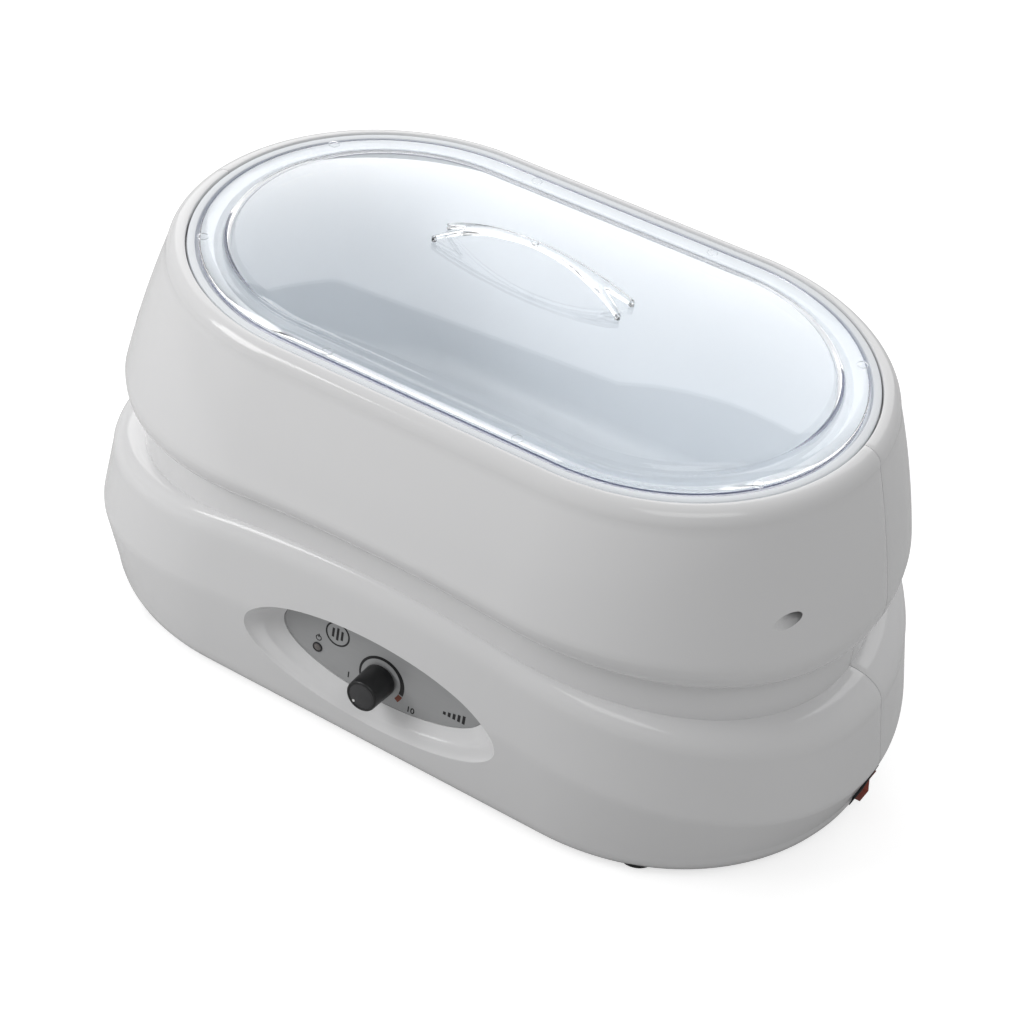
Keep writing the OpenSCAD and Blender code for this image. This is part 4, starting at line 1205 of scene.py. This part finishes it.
def printed_text(text, height, place):
    """Text in Blender's own font as a thin raised print."""
    data = bpy.data.curves.new("print", "FONT")
    data.body = text
    data.size = height
    data.offset = height * 0.022
    data.align_x = data.align_y = "CENTER"
    holder = bpy.data.objects.new("print", data)
    mesh = holder.to_mesh()
    bm = bmesh.new()
    bm.from_mesh(mesh)
    holder.to_mesh_clear()
    bpy.data.objects.remove(holder)
    bpy.data.curves.remove(data)
    bmesh.ops.remove_doubles(bm, verts=bm.verts, dist=0.001 * MM)
    raised_print(bm)
    placed(bm, Matrix.Translation((*place, 0)))
    return bm


class WARMER_OT_knob(bpy.types.Operator):
    """Builds the control knob with its dished face and white pointer dot"""
    bl_idname = "warmer.knob"
    bl_label = "Knob"

    def execute(self, context):
        scene = context.scene
        panel = Panel(scene.warmer_panel, scene.warmer_casing)
        base = scene.warmer_panel.label_thickness / 2 + 0.8 * MM
        radius, height, hollow = 8.5 * MM, 16 * MM, 6.5 * MM
        face = radius - 0.85 * MM
        under = [(0, 3.4 * MM), (hollow, 3.4 * MM), (hollow, 0)]
        side = (around(radius, 0, (-0.3, 0), (0, 0.3))
                + around(radius, height, (-0.4, -1), (-0.55, -0.45), (-0.9, -0.1), (-1.25, 0)))
        dish = (around(face, height, (-0.75, -0.05), (-1, -0.3), (-1.6, -0.38))
                + around(0, height, (0, -0.38)))
        bm = turned(under + side + dish)
        placed(bm, panel.matrix(h=base))
        dark = plastic("knob_grey", tuple(scene.warmer_finish.knob), 0.36, 1500.0, 0.12, 0.08)
        made_piece("knob_cap", bm, dark, "knob", sharp=40)
        disc = turned([(0, 0), (face - 1.1 * MM, 0), (face - 1.3 * MM, 0.12 * MM), (0, 0.12 * MM)], 96)
        placed(disc, panel.matrix(h=base + height - 0.4 * MM))
        grey = plastic("knob_face", (0.045, 0.045, 0.047), 0.42, 1500.0, 0.12, 0.08)
        made_piece("knob_disc", disc, grey, "knob", replaces=False)
        turn, reach = math.radians(230), 5.7 * MM
        dot = cylinder(0.68 * MM, (0, 0, -0.1 * MM), (0, 0, 0.2 * MM), 32)
        placed(dot, panel.matrix(reach * math.cos(turn), reach * math.sin(turn),
                                 base + height - 0.38 * MM))
        white = plastic("pointer_white", (0.8, 0.8, 0.78), 0.5)
        made_piece("knob_dot", dot, white, "knob", replaces=False)
        return {"FINISHED"}


class WARMER_OT_small_parts(bpy.types.Operator):
    """Rounds the edges of the switch, the inlet, the feet and the base plate"""
    bl_idname = "warmer.small_parts"
    bl_label = "Small parts"

    def execute(self, context):
        red = tuple(context.scene.warmer_finish.rocker)
        rocker = plastic("rocker_red", red, 0.25, 800.0, 0.04, coat=0.3)
        rubber = plastic("black_rubber", (0.018, 0.018, 0.019), 0.75, 600.0, 0.25)
        base = plastic("base_plastic", (0.72, 0.72, 0.725), 0.5, 500.0, 0.15)
        pieces = (("frame_bezel", "switch_frame", black_plastic(), "black_plastic", 0.2),
                  ("rocker_cap", "switch_rocker", rocker, "rocker_red", 0.4),
                  ("inlet_bezel", "inlet_socket", black_plastic(), "black_plastic", 0.35),
                  ("foot_pads", "rubber_feet", rubber, "black_rubber", 0.4),
                  ("under_plate", "base_plate", base, "base_plastic", 0.35))
        for name, node, material, slot, width in pieces:
            bm = node_copy(node)
            if node == "switch_frame":
                self.trim_bezel(bm)
            bevelled(bm, width * MM, 40, 2)
            made_piece(name, bm, material, node, sharp=40)
        return {"FINISHED"}

    @staticmethod
    def trim_bezel(bm):
        """Makes the frame's bezel flat and narrow, as moulded rocker switches have it."""
        place = switch_place()
        back = place.inverted()
        for vert in bm.verts:
            spot = back @ vert.co
            if spot.x > 0.1 * MM:
                spot.x = min(spot.x, 0.7 * MM)
                spot.y = max(-10 * MM, min(10 * MM, spot.y))
                spot.z = max(-6.9 * MM, min(6.9 * MM, spot.z))
                vert.co = place @ spot


class WARMER_OT_screws(bpy.types.Operator):
    """Gives the casing and base screws cross recesses"""
    bl_idname = "warmer.screws"
    bl_label = "Screws"

    def execute(self, context):
        steel = metal("screw_steel", (0.62, 0.62, 0.63), 0.3, 1200.0, 0.05)
        low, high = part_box("casing_screws")
        spots = [(Vector((x, low.y, z)), Vector((0, 1, 0)), CASING_SCREW_HEAD)
                 for x, z in well_places()]
        self.screws("casing_screw_heads", "casing_screws", spots, high.y - low.y, steel)
        low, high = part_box("base_screws")
        head = BASE_SCREW_HEAD
        spots = [(Vector((x, y, low.z)), Vector((0, 0, 1)), head)
                 for x in (low.x + head, 0, high.x - head) for y in (low.y + head, high.y - head)]
        self.screws("base_screw_heads", "base_screws", spots, high.z - low.z, steel)
        return {"FINISHED"}

    @staticmethod
    def screws(name, node, spots, length, steel):
        bm = bmesh.new()
        for place, axis, head in spots:
            shank = head * 0.5
            profile = [(0, 0), (head * 0.6, 0.02 * MM), (head * 0.88, 0.35 * MM),
                       (head, 0.9 * MM), (head, 1.8 * MM), (shank, 1.8 * MM), (shank, length - MM),
                       (0, length)]
            screw = turned(profile, 40)
            arm, deep, width = head * 0.62, 1.1 * MM, head * 0.13
            cross = [block((-arm, -width, -MM), (arm, width, deep)),
                     block((-width, -arm, -MM), (width, arm, deep))]
            screw = cut_mesh(screw, "DIFFERENCE", cut_mesh(cross[0], "UNION", cross[1]))
            placed(screw, Matrix.Translation(place) @ axis.to_track_quat("Z", "Y").to_matrix().to_4x4())
            joined(bm, screw)
        made_piece(name, bm, steel, node, sharp=30)


def kept_finishes():
    """Finish of each CAD node that keeps its own mesh."""
    board = plastic("board_green", (0.02, 0.10, 0.05), 0.35, 400.0, 0.1)
    blue = plastic("part_blue", (0.03, 0.05, 0.16), 0.4)
    brass = metal("brass", (0.72, 0.56, 0.26), 0.3)
    steel = metal("shield_metal", (0.55, 0.56, 0.57), 0.35, 900.0)
    return {
        "basin_gasket": plastic("gasket_rubber", (0.42, 0.43, 0.44), 0.6, 500.0, 0.2),
        "heater_film": plastic("heater_amber", (0.42, 0.17, 0.04), 0.4),
        "insulation_pad": plastic("felt", (0.62, 0.60, 0.54), 0.95, 350.0, 0.6),
        "heat_shield": steel, "heat_sink": steel,
        "shield_posts": white_plastic(), "board_posts": white_plastic(),
        "thermal_cutout": plastic("bakelite", (0.04, 0.03, 0.025), 0.4),
        "sensor_probe": brass, "switch_terminals": brass, "inlet_pins": brass,
        "regulator_body": black_plastic(),
        "regulator_nut": steel, "regulator_shaft": steel,
        "control_board": board, "board_parts": blue,
        "mains_leads": plastic("lead_brown", (0.16, 0.07, 0.03), 0.45),
        "heater_leads": plastic("lead_white", (0.6, 0.6, 0.58), 0.45),
        "signal_leads": plastic("lead_blue", (0.03, 0.05, 0.25), 0.45),
    }


class WARMER_OT_inner_parts(bpy.types.Operator):
    """Gives the parts inside the casing their finishes"""
    bl_idname = "warmer.inner_parts"
    bl_label = "Inner parts"

    def execute(self, context):
        for node, material in kept_finishes().items():
            piece = frame["nodes"][node]
            piece.data.materials.clear()
            piece.data.materials.append(material)
        return {"FINISHED"}


class WARMER_PT_build(bpy.types.Panel):
    """Lists the build steps and the main sizes"""
    bl_idname = "WARMER_PT_build"
    bl_label = "Wax warmer"
    bl_space_type = "VIEW_3D"
    bl_region_type = "UI"
    bl_category = "Warmer"

    def draw(self, context):
        layout = self.layout
        for operator in OPERATORS:
            layout.operator(operator.bl_idname)
        for name in GROUPS:
            values = getattr(context.scene, name)
            for key in values.__annotations__:
                layout.prop(values, key)


OPERATORS = (WARMER_OT_camera, WARMER_OT_stage, WARMER_OT_casing, WARMER_OT_basin, WARMER_OT_lid,
             WARMER_OT_handle, WARMER_OT_panel, WARMER_OT_knob, WARMER_OT_small_parts,
             WARMER_OT_screws, WARMER_OT_inner_parts)
GROUPS = {"warmer_casing": WarmerCasing, "warmer_panel": WarmerPanel, "warmer_lid": WarmerLid,
          "warmer_handle": WarmerHandle, "warmer_finish": WarmerFinish}


def register():
    for kind in (*GROUPS.values(), *OPERATORS, WARMER_PT_build):
        bpy.utils.register_class(kind)
    for name, kind in GROUPS.items():
        setattr(bpy.types.Scene, name, PointerProperty(type=kind))


def unregister():
    for name in GROUPS:
        delattr(bpy.types.Scene, name)
    for kind in reversed((*GROUPS.values(), *OPERATORS, WARMER_PT_build)):
        bpy.utils.unregister_class(kind)


def main():
    register()
    for operator in OPERATORS:
        group, name = operator.bl_idname.split(".")
        getattr(getattr(bpy.ops, group), name)()


if __name__ == "__main__":
    main()
